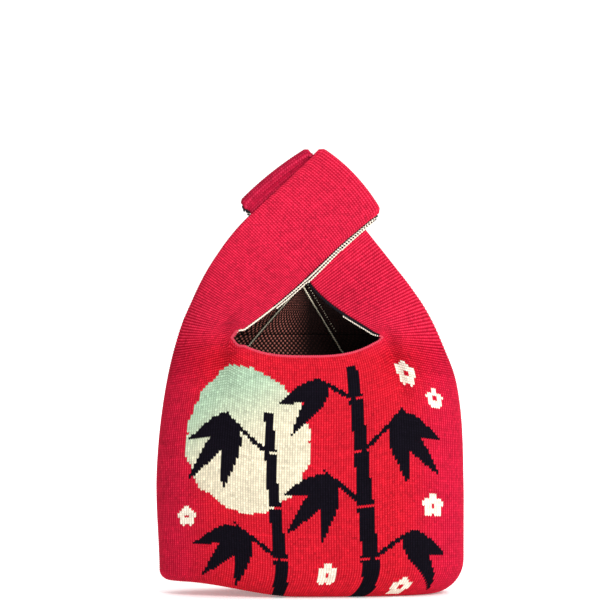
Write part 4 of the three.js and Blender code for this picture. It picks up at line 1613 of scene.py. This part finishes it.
    def shape(self, side: Side) -> tuple[np.ndarray, np.ndarray, dict[str, tuple[slice, np.ndarray]]]:
        """Shapes a panel and all that grows out of it, as one fabric.

        Args:
            side: Front or back.

        Returns:
            The panel's face, the row after its last one, and by name each strip's columns and face.
        """
        panel = self.pouch.panel(side)
        follow = panel[-1].copy()
        spans = {
            f"left_strap_{side.word}": (slice(0, self.left_corner + 1), self.strip(Hand.LEFT, side)),
            f"right_strap_{side.word}": (slice(self.right_corner, None), self.strip(Hand.RIGHT, side)),
        }
        if side is Side.BACK:
            spans["back_yoke"] = (slice(self.left_corner, self.right_corner + 1), self.yoke())
        for name, (span, strip) in spans.items():
            step = panel[-1, span] - strip[0]
            strip += step * (1 - ramp(np.arange(len(strip)), 0, self.settle_rows))[:, None, None]
            first = np.arange(strip.shape[1])
            last = first[::-1]
            near = last if "left" in name else first if "right" in name else np.minimum(first, last)
            lower = panel[:, span].copy()
            ease_joint(lower, strip, ramp(near, 0, self.ease_columns))
            panel[:, span] = lower
        for points in (panel, *(strip for _, strip in spans.values())):
            points[..., 1] -= side.value * slump(points, side)
            for hand, spread, reach in MOUTH_CORNERS if side is Side.FRONT else ():
                blunt(points, (self.pouch.corner_x(hand), self.pouch.mouth_z), spread, reach)
        if side is Side.BACK:
            meet(spans["back_yoke"][1], spans["left_strap_back"][1][:, -1], 0)
            meet(spans["back_yoke"][1], spans["right_strap_back"][1][:, 0], -1)
        for span, strip in spans.values():
            panel[-1, span] = strip[0]
            follow[span] = strip[1]
        return panel, follow, spans

    def knit(self, side: Side) -> dict[str, KnitSheet]:
        """Knits a panel and all that grows out of it, with the design on the panel.

        Args:
            side: Front or back.

        Returns:
            The sheets by name.
        """
        panel, follow, spans = self.shape(side)
        wale = (np.arange(self.pouch.wales) + 0.5 - self.pouch.wales / 2) * GAUGE.wale
        height = (np.arange(len(panel) // STITCH) + 0.5 - self.pouch.base_courses) * GAUGE.course
        u, v = np.meshgrid(wale, height)
        painted = dyed(self.design.paint(-side.value * u, v, self.red(panel)), PANEL_SALT)
        name = f"{side.word}_panel"
        body = KnitSheet(f"{name}_knit", side, panel, painted, self.stretch(name, panel), follow, rounded=1.0)
        sheets = {name: body}
        for salt, (name, (span, strip)) in enumerate(spans.items(), STRIP_SALT):
            plain = dyed(self.red(strip), salt)
            sheet = KnitSheet(f"{name}_knit", side, strip, plain, self.stretch(name, strip))
            sheet.raised[0] = body.raised[-1, span]
            sheet.hollow[0] = body.hollow[-1, span]
            sheet.normals[0] = body.normals[-1, span]
            sheets[name] = sheet
        return sheets

    def finish(self, piece: bpy.types.Object, node: str, slot: str, body: Optional[str]) -> None:
        """Hands a piece over: hides the CAD node that it stands for and puts it on its body, if it has one.

        Args:
            piece: The finished piece.
            node: CAD node that it stands for.
            slot: Not used.
            body: Body that it rides on, or None, where its place is baked into its mesh.
        """
        if body is None:
            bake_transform(piece)
        else:
            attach(piece, body)
        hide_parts(node)
        LOG.info("%s: %d faces", piece.name, len(piece.data.polygons))

    @staticmethod
    def declare(piece: bpy.types.Object, sheet: KnitSheet) -> None:
        """Takes no step with a knitted piece.

        Args:
            piece: Not used.
            sheet: Not used.
        """

    def build(self) -> None:
        """Builds every piece."""
        for side in Side:
            sheets = {**self.knit(side), f"pull_loop_{side.word}": self.pull_sheet(side)}
            for name, sheet in sheets.items():
                piece = sheet.build(self.shop.face, self.shop.reverse)
                slot = "panel_knit" if "panel" in name or "yoke" in name else "strap_knit"
                body = "bag" if "panel" in name else "pull_loop" if "pull" in name else None
                self.finish(piece, name, slot, body)
                self.declare(piece, sheet)
            self.build_selvedges(side, sheets)
            if side is Side.FRONT:
                self.build_rolled_edge(sheets)
            else:
                self.build_binding(sheets["back_yoke"])
        self.build_pouch_seams()
        self.build_linking()

    def build_selvedges(self, side: Side, sheets: dict[str, KnitSheet]) -> None:
        """Builds the selvedges along the inner edges of the straps and the pull loop.

        Args:
            side: Front or back.
            sheets: That side's sheets by name.
        """
        for name, column, rows, body in (
            ("left_strap", -1, BAND_SELVEDGE, None),
            ("right_strap", 0, STRAP_SELVEDGE, None),
            ("pull_loop", 0, LOOP_SELVEDGE, "pull_loop"),
        ):
            edge = sheets[f"{name}_{side.word}"].edge(column)
            if side is Side.BACK and body is None:
                clear = self.pouch.mouth_z + self.yoke_rise + self.yoke_clear
                start = float(np.mean(edge[0][:, 2] < clear))
                rows = [replace(row, start=start, end=1.0) for row in STRAP_SELVEDGE]
            piece = self.shop.trim(f"{name}_{side.word}_selvedge", edge, rows)
            self.finish(piece, f"{name}_{side.word}_edging", "selvedge", body)

    def build_rolled_edge(self, sheets: dict[str, KnitSheet]) -> None:
        """Builds the rolled edge of the front's neckline, which runs on up beside both straps.

        Args:
            sheets: The front's sheets by name.
        """
        panel, mouth = sheets["front_panel"], slice(self.left_corner, self.right_corner + 1)
        normals = panel.normals[-1, mouth]
        line = panel.skin[-1, mouth] - normals * GAUGE.thickness / 2
        neckline = (line, normals, np.broadcast_to(UP, line.shape))
        left, right = sheets["left_strap_front"].edge(-1), sheets["right_strap_front"].edge(0)
        line, facing, away = (
            np.concatenate([a[self.turn_left : 0 : -1], b, c[1 : self.turn_right + 1]])
            for a, b, c in zip(left, neckline, right)
        )
        piece = self.shop.trim("front_mouth_rolled_edge", (line, facing, unit(away)), ROLLED_EDGE)
        self.finish(piece, "front_mouth_edging", "rolled_edge", "bag")

    def build_binding(self, yoke: KnitSheet) -> None:
        """Builds the binding along the top of the back yoke.

        Args:
            yoke: The yoke's sheet.
        """
        line = yoke.skin[-1] - yoke.normals[-1] * GAUGE.thickness / 2
        piece = self.shop.trim("back_mouth_binding", (line, yoke.normals[-1], UP), MOUTH_BINDING)
        self.finish(piece, "back_mouth_edging", "selvedge", None)

    def build_pouch_seams(self) -> None:
        """Builds the overlocked seams inside the pouch: at both sides, along the base and up the back."""
        pouch = self.pouch
        inward = GAUGE.cloth + GAUGE.gap + self.seam_radius
        top = pouch.mouth_z - pouch.armhole_drop - 2 * GAUGE.cloth
        seams = []
        for hand in Hand:
            z = np.linspace(pouch.base_corner, top, SIDE_POINTS)
            width, _, shift = pouch.section(z)
            x = shift + hand * (width - inward)
            line = np.stack([x, 0 * x, z + pouch.lift(x, z)], -1)
            seams.append((f"{hand.name.lower()}_side", line, (-hand, 0, 0), OVERLOCK, "bag"))
        half = pouch.width / 2 - pouch.base_corner - 2 * self.seam_radius
        x = np.linspace(-half, half, BASE_POINTS)
        line = np.stack([x, 0 * x, inward + pouch.lift(x, np.full_like(x, GAUGE.cloth))], -1)
        seams.append(("base", line, UP, OVERLOCK, "bag"))
        for seam in BACK_SEAMS:
            line = self.back_seam_line(seam, inward + GAUGE.gap)
            seams.append((f"{seam.hand.name.lower()}_back", line, (0, Side.FRONT.value, 0), seam.rows, None))
        for name, line, facing, rows, body in seams:
            piece = self.shop.trim(f"{name}_overlock", (line, facing, RIGHT), rows)
            self.finish(piece, f"{name}_seam", "overlock", body)

    def back_seam_line(self, seam: BackSeam, inward: float) -> np.ndarray:
        """Line of a seam inside the back, from the base up over the yoke.

        Args:
            seam: The seam.
            inward: How far it lies inside.

        Returns:
            Points in millimetres.
        """
        pouch, yoke = self.pouch, self.yoke()
        column, last = (round(place * (yoke.shape[1] - 1)) for place in (seam.foot, seam.tip))
        foot, tip = yoke[0, column], yoke[-1, last]
        slope = (tip[0] - foot[0]) / (tip[2] - foot[2])
        drop = 4 * GAUGE.cloth  # the line leaves the pouch this far under the mouth
        z = np.linspace(pouch.base_roll + 2 * GAUGE.cloth, pouch.mouth_z - drop, BACK_POINTS)
        x = mix(seam.base_x, foot[0] - drop * slope, np.linspace(0, 1, BACK_POINTS) ** self.seam_sweep)
        points = list(np.stack([x, pouch.depth_at(x, z, inward), z + pouch.lift(x, z)], -1))
        for row in yoke[2:]:
            z = row[column, 2]
            x = foot[0] + (z - foot[2]) * slope
            points.append((x, np.interp(x, row[:, 0], row[:, 1]) - inward, z))
        return np.array(points)

    def build_linking(self) -> None:
        """Builds the seams that link the front and back strips inside the folds."""
        across = np.linspace(self.link_inset, 1 - self.link_inset, LINK_POINTS)
        folded = ((self.loops[Hand.LEFT], "left_strap", "knot"), (self.pull, "pull_loop", "pull_loop"))
        for loop, name, body in folded:
            inside = loop.fold_layer - GAUGE.cloth / 2 - GAUGE.gap - self.link_radius
            flat = loop.in_band(across, loop.fold_start(across) + inside)
            line = np.stack([flat[:, 0], 0 * across, flat[:, 1]], -1)
            facing = (-loop.along[0], 0, -loop.along[1])
            piece = self.shop.trim(f"{name}_linking", (line, facing, facing), LINKING)
            self.finish(piece, f"{name}_top_seam", "link_yarn", body)


@dataclass(frozen=True)
class Lamp:
    """A soft box that is turned towards the bag; its place and size are in metres."""

    name: str
    place: tuple[float, float, float]
    size: float
    power: float

    def build(self, target: Vector) -> None:
        """Makes the lamp.

        Args:
            target: Point that it is turned to, in metres.
        """
        light = bpy.data.lights.new(self.name, "AREA")
        light.size, light.energy = self.size, self.power
        lamp = link_object(self.name, light)
        lamp.location = self.place
        lamp.rotation_euler = (target - Vector(self.place)).to_track_quat("-Z", "Y").to_euler()


@dataclass(frozen=True)
class PalePaper:
    """Pale matte paper of the floor, which glows a little so that it stays white."""

    name: str = "pale_matte_paper"
    half: float = 9.0  # of the sheet's width, in metres
    grain: float = 4.0
    tones: tuple[float, float] = (0.93, 0.95)
    roughness: float = 0.9
    glow: float = 0.25

    def build(self) -> None:
        """Lays the sheet."""
        mesh = bpy.data.meshes.new("floor")
        corners = [(x * self.half, y * self.half, 0) for x, y in ((-1, -1), (1, -1), (1, 1), (-1, 1))]
        mesh.from_pydata(corners, [], [(0, 1, 2, 3)])
        material, tree, shader = new_material(self.name)
        place = add_node(tree, "ShaderNodeTexCoord").outputs["Object"]
        fibres = {"Vector": place, "Scale": 1 / (self.grain * MM), "Detail": 3.0}
        noise = add_node(tree, "ShaderNodeTexNoise", fibres)
        plug(
            shader,
            {
                "Base Color": add_node(
                    tree, "ShaderNodeMapRange", {0: noise, 3: self.tones[0], 4: self.tones[1]}
                ),
                "Roughness": self.roughness,
                "Emission Color": WHITE,
                "Emission Strength": self.glow,
            },
        )
        mesh.materials.append(material)
        link_object("floor", mesh)


@dataclass(frozen=True)
class Studio:
    """A plain pale floor, soft light and the camera."""

    lens: float = 250.0
    sensor: float = 36.0
    view_width: float = 450.0  # what the picture shows across, at the middle of the bag
    aim: tuple[float, float, float] = (-7.5, 0.0, 220.5)
    elevation: float = 3.0
    lamps: tuple[Lamp, ...] = (
        Lamp("key", (0.75, -1.3, 1.1), 0.7, 21.0),
        Lamp("back", (0.3, 1.6, 1.5), 1.5, 12.0),
    )
    lamp_aim: float = 150.0  # height on the bag that they are turned to
    bright_side: tuple[float, float, float] = (0.6, 0.8, 0.0)  # where the sky is brightest
    sky: tuple[float, float] = (0.4, 1.25)  # its strength opposite that side, and on it
    sky_end: float = 0.4  # cosine of the angle to that side where it is at full strength

    def build(self) -> None:
        """Makes the floor, the lights and the camera."""
        scene = bpy.context.scene
        scene.view_settings.view_transform = "Standard"
        PalePaper().build()
        world = bpy.data.worlds.new("studio")
        world.use_nodes = True
        tree = world.node_tree
        place = add_node(tree, "ShaderNodeTexCoord").outputs["Generated"]
        toward = {0: place, 1: self.bright_side}
        facing = add_node(tree, "ShaderNodeVectorMath", toward, operation="DOT_PRODUCT").outputs["Value"]
        fade = {0: facing, 1: -1.0, 2: self.sky_end, 3: self.sky[0], 4: self.sky[1]}
        glow = add_node(tree, "ShaderNodeMapRange", fade)
        plug(tree.nodes["Background"], {"Color": WHITE, "Strength": glow})
        scene.world = world
        for lamp in self.lamps:
            lamp.build(Vector(UP) * self.lamp_aim * MM)
        lens = bpy.data.cameras.new("camera")
        lens.lens, lens.sensor_width = self.lens, self.sensor
        camera = link_object("camera", lens)
        distance = self.view_width * MM * self.lens / self.sensor
        tilt = math.radians(self.elevation)
        target = Vector(self.aim) * MM
        camera.location = target + Vector((0, -math.cos(tilt), math.sin(tilt))) * distance
        camera.rotation_euler = (target - camera.location).to_track_quat("-Z", "Y").to_euler()
        scene.camera = camera


def main() -> None:
    """Builds the studio and the bag, and logs the faces of each piece."""
    logging.basicConfig(level=logging.INFO, format="%(message)s")
    Studio().build()
    KnotBag(Workshop()).build()


if __name__ == "__main__":
    main()
